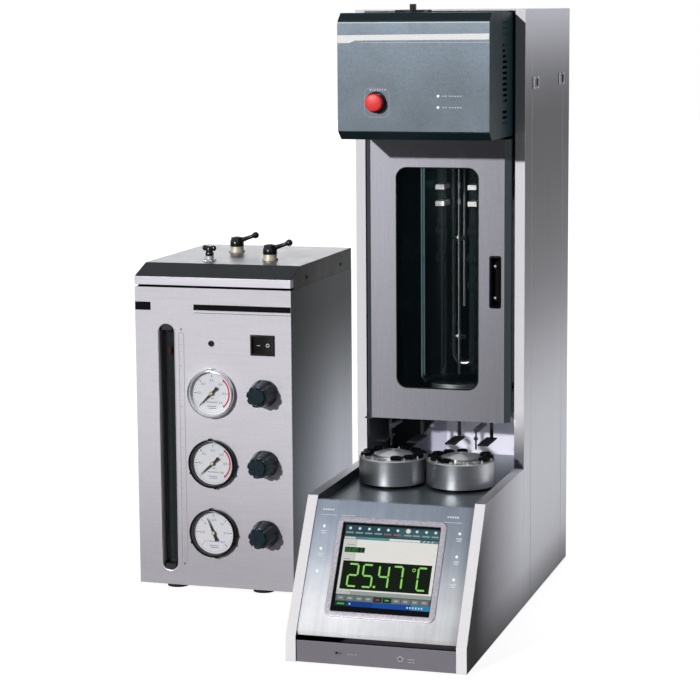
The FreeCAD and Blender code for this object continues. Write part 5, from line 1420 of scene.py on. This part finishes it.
class TESTER_OT_gauges(TesterOperator, bpy.types.Operator):
    """Three pressure gauges: bezel, dial, hand hub and window"""

    bl_idname = "tester.gauges"
    bl_label = "Gauges"

    def execute(self, context):
        chrome = Finish("bezel_chrome", (0.80, 0.80, 0.81), 0.12, 1.0)
        chrome.rough(chrome.noise(120), 0.08, 0.18)
        black = moulded("bezel_black", (0.005, 0.005, 0.006), 0.2)
        hand = moulded("hand_black", (0.003, 0.003, 0.004), 0.3)
        brass = brushed("hub_brass", (0.72, 0.56, 0.28), 0.25, 1.0, (900, 900, 900))
        ink = inked("dial_ink")
        hub = [(0, 0.0012), (0.0018, 0.0011), (0.0024, 0.0006), (0.0024, -0.0004), (0, -0.0004)]
        for number in (1, 2, 3):
            centre = np.array([middle("gauge_lenses")[0], corners("gauge_cases")[0][1],
                               GAUGE_LOWEST + GAUGE_PITCH * (number - 1)])
            self.case(number, centre, chrome if number == 3 else black)
            self.dial(number, centre, ink)
            self.hand(number, centre, hand)
            piece("hand_hub_%d" % number, turned(hub, centre + (0, 0.0045, 0), "Y", 28), brass,
                  "gauge_hand_%d" % number)
        dress("gauge_lenses", thin_glass("lens_clear", (0.9, 0.92, 0.92), 0.02, 0.25, 0.2))
        return {"FINISHED"}

    def hand(self, number, centre, finish):
        """Flat pointer: thin at its tip, widest at its tail, along its own angle, with the
        arbor it turns on."""
        node = "gauge_hand_%d" % number
        turn = math.radians(HAND_ANGLES[number - 1])
        x, _, z = centre
        low, high = corners(node)
        outline = np.array([(21.0, 0.3), (0, 1.2), (-6, 1.3), (-11, 2.3), (-11, -2.3), (-6, -1.3),
                            (0, -1.2), (21.0, -0.3)]) * MM
        flat = (outline[:, :1] * circle(turn, RIGHT, UP)
                + outline[:, 1:] * circle(turn, UP, -RIGHT) + (x, low[1], z))
        count = len(flat)
        faces = [list(range(count)), list(range(2 * count - 1, count - 1, -1))]
        faces += [[i, count + i, count + (i + 1) % count, (i + 1) % count] for i in range(count)]
        back = low[1] - high[1]
        arbor = [(0, 0), (0.0026, 0), (0.0026, -0.0013), (0.001, -0.0013), (0.001, back),
                 (0, back)]
        piece("pointer_%d" % number,
              [(np.concatenate([flat, flat + (0, 0.0008, 0)]), faces),
               turned(arbor, (x, low[1], z), "Y", 24)], finish, node, node)

    def case(self, number, centre, finish):
        """Case and bezel as one turned profile: rounded rim, step down to the dial, long cup;
        with clamping lugs on the lower two and a stop on the third."""
        rim = 0.0022
        profile = [(0, -0.0086), (0.0276, -0.0086), (0.0283, -0.0080), (0.0283, -0.0014),
                   (0.0287, -0.0004)]
        profile += [(GAUGE_RADIUS - rim + across, down - rim) for across, down in arc(rim, 6)]
        profile += [(GAUGE_RADIUS, -0.0070), (0.0309, -0.0086), (0.0290, -0.0088),
                    (0.0289, -0.0280), (0, -0.0280)]
        parts = [turned(profile, centre, "Y", 96)]
        if number < 3:
            parts += [soft_block((0.0032, 0.0045, 0.0032), place + (0, 0.0042, 0), 0.0006)
                      for place in centre + GAUGE_RADIUS * circle(
                          np.radians((95, 205, 278, 335, -3)), RIGHT, UP)]
        else:
            parts.append(soft_block((0.0075, 0.005, 0.0022), centre + (0, 0.004, 0.0318),
                                    0.0006))
        piece("gauge_case_%d" % number, parts, finish,
              node="gauge_cases" if number == 1 else None)

    def dial(self, number, centre, ink):
        """White dial: main and small ticks by angle, numerals inside them and a red sector."""
        black, grey, red = (0.006, 0.006, 0.008), (0.05, 0.05, 0.055), (0.66, 0.03, 0.09)
        vacuum = number == 1
        shapes = [disc(0, 0, 28.2, (0.80, 0.82, 0.88), 1, 72),
                  band(0, 0, 25.3, 25.7, 0, 360, (0.45, 0.45, 0.47), 2, 72)]
        for angle in np.arange(225, -46, -TICK):
            inner, width = (20.6, 0.8) if (225 - angle) % 45 == 0 else (22.9, 0.35)
            way = circle(math.radians(angle), *FLAT)
            shapes.append(stroke(way * inner, way * 24.3, width,
                                 red if vacuum and angle > 120 else black, 2))
        labels = ("0", "0.1", "0.2", "0.3", "0.4", "0.5", "0.6")
        if vacuum:
            labels = ("-0.1", "-0.05", "0", "0.05", "0.1", "0.15", "0.2")
        else:
            shapes.append(band(0, 0, 22.2, 24.2, -50, 50, red, 3, 40))
        for index, label in enumerate(labels):
            x, y = 16.6 * circle(math.radians(225 - 45 * index), *FLAT)
            shapes.append(word(label, x, y, 4.2, red if vacuum and index < 2 else grey, 2))
        for y, wide in ((-7.2, 1.6), (-12.0, 7.4), (-17.6, 6.0), (-20.0, 4.6)):
            shapes += dashes(np.arange(-wide, wide, 1.5), 1.0, y, y + 1.1, (0.16, 0.16, 0.18), 2)
        picture("gauge_dial_%d" % number, shapes, centre + (0, 0.0085, 0), ink)


class TESTER_OT_controls(TesterOperator, bpy.types.Operator):
    """Regulator knobs and the mains switch"""

    bl_idname = "tester.controls"
    bl_label = "Controls"

    def execute(self, context):
        black = moulded("knob_black", (0.005, 0.018, 0.027), 0.26, 900)
        for number in (1, 2, 3):
            self.knob(number, black)
        switch = moulded("switch_black", (0.008, 0.008, 0.009), 0.35)
        dress("switch_frame", switch, 0.0003)
        dress("rocker", switch, SHEET_EDGE)
        self.rocker_marks()
        return {"FINISHED"}

    def knob(self, number, finish):
        """Tapered knob: the radius falls from back to front and is cut in by a power of the
        cosine of the turn times the number of flutes; the front has a round cap."""
        node = "regulator_knob_%d" % number
        low, high = corners(node)
        x, _, z = middle(node)
        long, cap, face = 0.027, 0.0025, 0.0104
        back, front = self.sizes.knob_back, self.sizes.knob_front
        turn = around(160)
        share = np.linspace(0, 1, 15)
        radius = back + (front - back) * share ** 0.85 - 0.0011 * (share < 0.04)
        flute = np.clip(np.cos((turn - FLUTE_START) * self.sizes.knob_flutes), 0, 1) ** 1.6
        skin = radius[:, None] - 0.0018 * flute * np.clip((share - 0.10) / 0.15, 0, 1)[:, None]
        level = np.ones((1, len(turn)))
        radii = np.concatenate([0 * level, skin, 0.93 * skin[-1:], 0.86 * skin[-1:],
                                *(r * level for r in (face, face, face - 0.0006, 0))])
        depth = np.concatenate([[cap + long], cap + long * (1 - share),
                                [cap - 0.0004, cap - 0.0006, cap - 0.0002, 0.0006, 0, 0]])
        points = radii[..., None] * circle(turn, RIGHT, UP) + depth[:, None, None] * BACK
        end = low[1] - high[1] + 0.0002
        stem = turned([(0, -0.028), (0.003, -0.028), (0.003, end), (0, end)], (x, low[1], z),
                      "Y", 24)
        piece("regulator_grip_%d" % number,
              [(points.reshape(-1, 3) + (x, low[1], z), grid_faces(len(depth), len(turn))),
               stem], finish, node, node, 40)

    def rocker_marks(self):
        """A bar and a ring, each on its own leaning half of the rocker."""
        white = (0.78, 0.78, 0.76)
        marks = {"bar": (-1, bar(-2.2, -0.35, 2.2, 0.35, white)),
                 "ring": (1, band(0, 0, 1.55, 2.35, 0, 360, white, 1, 32))}
        tilt, slope = math.radians(ROCKER_TILT), math.atan2(2.0, 12.0)
        x, _, z = middle("switch_frame")
        for name, (side, mark) in marks.items():
            right = circle(tilt - side * slope)
            spot = (np.array([x, SUPPLY[1] + 0.003, z]) + side * 6.0 * MM * circle(tilt)
                    - 3.6 * MM * circle(tilt, BACK, -RIGHT))
            picture("rocker_" + name, [mark], spot + np.cross(right, UP) * 0.00005,
                    inked("rocker_ink_" + name, roughness=0.4), body="rocker", right=right)


class TESTER_OT_valves(TesterOperator, bpy.types.Operator):
    """Clamp levers and the winged vent knob on the lid"""

    bl_idname = "tester.valves"
    bl_label = "Lid valves"

    def execute(self, context):
        black = moulded("lever_black", (0.005, 0.006, 0.007), 0.18, 700).set(
            Specular_IOR_Level=0.5)
        for number, spot in enumerate(LEVER_SPOTS, 1):
            self.lever(number, on_supply(spot) + UP * LID[1][2], black)
        self.vent(on_supply(VENT_SPOT) + UP * LID[1][2], black)
        return {"FINISHED"}

    def lever(self, number, seat, finish):
        """Turned hub with a stepped cap, and an arm whose line rises and whose radius swells
        into a ball at its end."""
        node = "clamp_lever_%d" % number
        base = seat + (0, 0, 0.0078)
        hub = [(0, -0.0045), (0.002, -0.0045), (0.002, 0), (0.0089, 0), (0.0093, 0.0006),
               (0.0090, 0.0074), (0.0085, 0.0080), (0.0081, 0.0084), (0.0078, 0.0116),
               (0.0070, 0.0124), (0.0044, 0.0126), (0.0038, 0.0119), (0, 0.0119)]
        reach, ball = 0.0255, 0.0044
        share = np.linspace(0, 1, 30)
        along = share * (reach + ball)
        path = (base + (0, 0, 0.0066) + along[:, None] * circle(math.radians(LEVER_TURN))
                + (0.0100 * share ** 1.1)[:, None] * UP)
        radius = 0.0036 - 0.0014 * np.clip(share / 0.6, 0, 1) + 0.0006 * share
        swell = np.sqrt(np.clip(ball ** 2 - (along - reach) ** 2, 0, None))
        radius = np.maximum(np.maximum(radius * (along < reach), swell), 0.00005)
        piece("lever_arm_%d" % number, [turned(hub, base, "Z", 56), pipe(path, radius, 22)],
              finish, node, node, 50)

    def vent(self, seat, finish):
        """Turned neck with a rounded wing across it: a super-ellipse section swelling to the
        wing's tips. Under it is a flange with seven waves round its edge."""
        base = seat + (0, 0, 0.0068)
        neck = [(0, -0.0045), (0.0025, -0.0045), (0.0025, 0), (0.0050, 0), (0.0055, 0.0007),
                (0.0052, 0.0030), (0.0044, 0.0062), (0.0048, 0.0090), (0.0036, 0.0112),
                (0, 0.0118)]
        share = np.linspace(-1, 1, 27)
        path = (base + (0, 0, 0.0094) + 0.0096 * share[:, None] * circle(math.radians(WING_TURN))
                + (0.0008 * share ** 2)[:, None] * UP)
        radius = ((0.0032 + 0.0007 * np.abs(share))
                  * np.sqrt(np.clip(1 - np.abs(share) ** 10, 0.0004, 1)))
        piece("vent_wing", [turned(neck, base, "Z", 40), pipe(path, radius, 20)], finish,
              "vent_knob", "vent_knob", 50)
        turn = around(96)
        edge = (0.0076 + 0.0016 * np.cos(7 * turn))[:, None] * circle(turn)
        rows = [(1.0, 0.0001), (0.98, 0.0011), (0.80, 0.0016), (0.60, 0.0018)]
        points = np.concatenate([seat + edge * reach + UP * rise for reach, rise in rows])
        piece("vent_star", (points, grid_faces(len(rows), len(turn))),
              brushed("vent_star_steel", (0.80, 0.80, 0.82), 0.28, 0.7, (400, 400, 90)))


class TESTER_OT_fittings(TesterOperator, bpy.types.Operator):
    """Feet, lamps, side sockets and rear connections"""

    bl_idname = "tester.fittings"
    bl_label = "Fittings"

    def execute(self, context):
        dress("rubber_feet", moulded("foot_black", (0.012, 0.012, 0.012), 0.65))
        lamp = Finish("lamp_white", (0.85, 0.87, 0.88), 0.2).mottle(900, 0.05)
        on_supply_side = lamp.ramp("X", -0.05, -0.06)
        lamp.tint(on_supply_side, (0.02, 0.02, 0.022))
        lamp.set(Emission_Color=(0.9, 0.95, 1.0),
                 Emission_Strength=lamp.ramp(on_supply_side, 0, 1, 0.35, 0.0))
        dress("indicator_leds", lamp)
        socket = painted("socket_pale", (0.60, 0.59, 0.64), 0.35, 0.3)
        # Painted shade in the sockets' slots: grey in one, black in the other.
        for y, half, colour in ((62.65, 0.0052, (0.16, 0.16, 0.18)),
                                (222.85, 0.0050, (0.006, 0.006, 0.007))):
            slot = socket.times(socket.near("Y", y * MM, half), socket.near("Z", 0.652, 0.0125))
            socket.tint(slot, colour)
        dress("side_sockets", socket, 0.0002)
        dress("rear_fittings", moulded("rear_black", (0.014, 0.014, 0.015), 0.4))
        self.lamp_ring()
        return {"FINISHED"}

    def lamp_ring(self):
        """Black cone round the supply's lamp: a turned profile with a thin wall."""
        profile = [(0.0019, 0.0036), (0.0023, 0.0042), (0.0027, 0.0040), (0.0034, 0.0008),
                   (0.0040, 0.0003), (0.0041, -0.0004)]
        collar = piece("lamp_collar", turned(profile, on_supply(LAMP_SPOT), "Y", 32),
                       moulded("lamp_collar_black", (0.010, 0.009, 0.009), 0.2))
        collar.modifiers.new("wall", "SOLIDIFY").thickness = 0.0003


OPERATORS = (
    TESTER_OT_cabinet, TESTER_OT_head, TESTER_OT_screen, TESTER_OT_carousels, TESTER_OT_bath,
    TESTER_OT_door, TESTER_OT_supply, TESTER_OT_level, TESTER_OT_gauges, TESTER_OT_controls,
    TESTER_OT_valves, TESTER_OT_fittings, TESTER_OT_stage,
)


class TESTER_PT_panel(bpy.types.Panel):
    """Lists the pieces and their settings"""

    bl_idname = "TESTER_PT_panel"
    bl_label = "Viscosity tester"
    bl_space_type = "VIEW_3D"
    bl_region_type = "UI"
    bl_category = "Tester"

    def draw(self, context):
        for operator in OPERATORS:
            self.layout.operator(operator.bl_idname)
        for group in (context.scene.tester_paint, context.scene.tester_shape,
                      context.scene.tester_stage):
            box = self.layout.box()
            for name in group.bl_rna.properties.keys():
                if name not in ("rna_type", "name"):
                    box.prop(group, name)


CLASSES = (PaintSettings, ShapeSettings, StageSettings, *OPERATORS, TESTER_PT_panel)


def register():
    for each in CLASSES:
        bpy.utils.register_class(each)
    bpy.types.Scene.tester_paint = PointerProperty(type=PaintSettings)
    bpy.types.Scene.tester_shape = PointerProperty(type=ShapeSettings)
    bpy.types.Scene.tester_stage = PointerProperty(type=StageSettings)


def unregister():
    for name in ("tester_stage", "tester_shape", "tester_paint"):
        delattr(bpy.types.Scene, name)
    for each in reversed(CLASSES):
        bpy.utils.unregister_class(each)


def main():
    register()
    for operator in OPERATORS:
        group, name = operator.bl_idname.split(".")
        getattr(getattr(bpy.ops, group), name)()


if __name__ == "__main__":
    main()
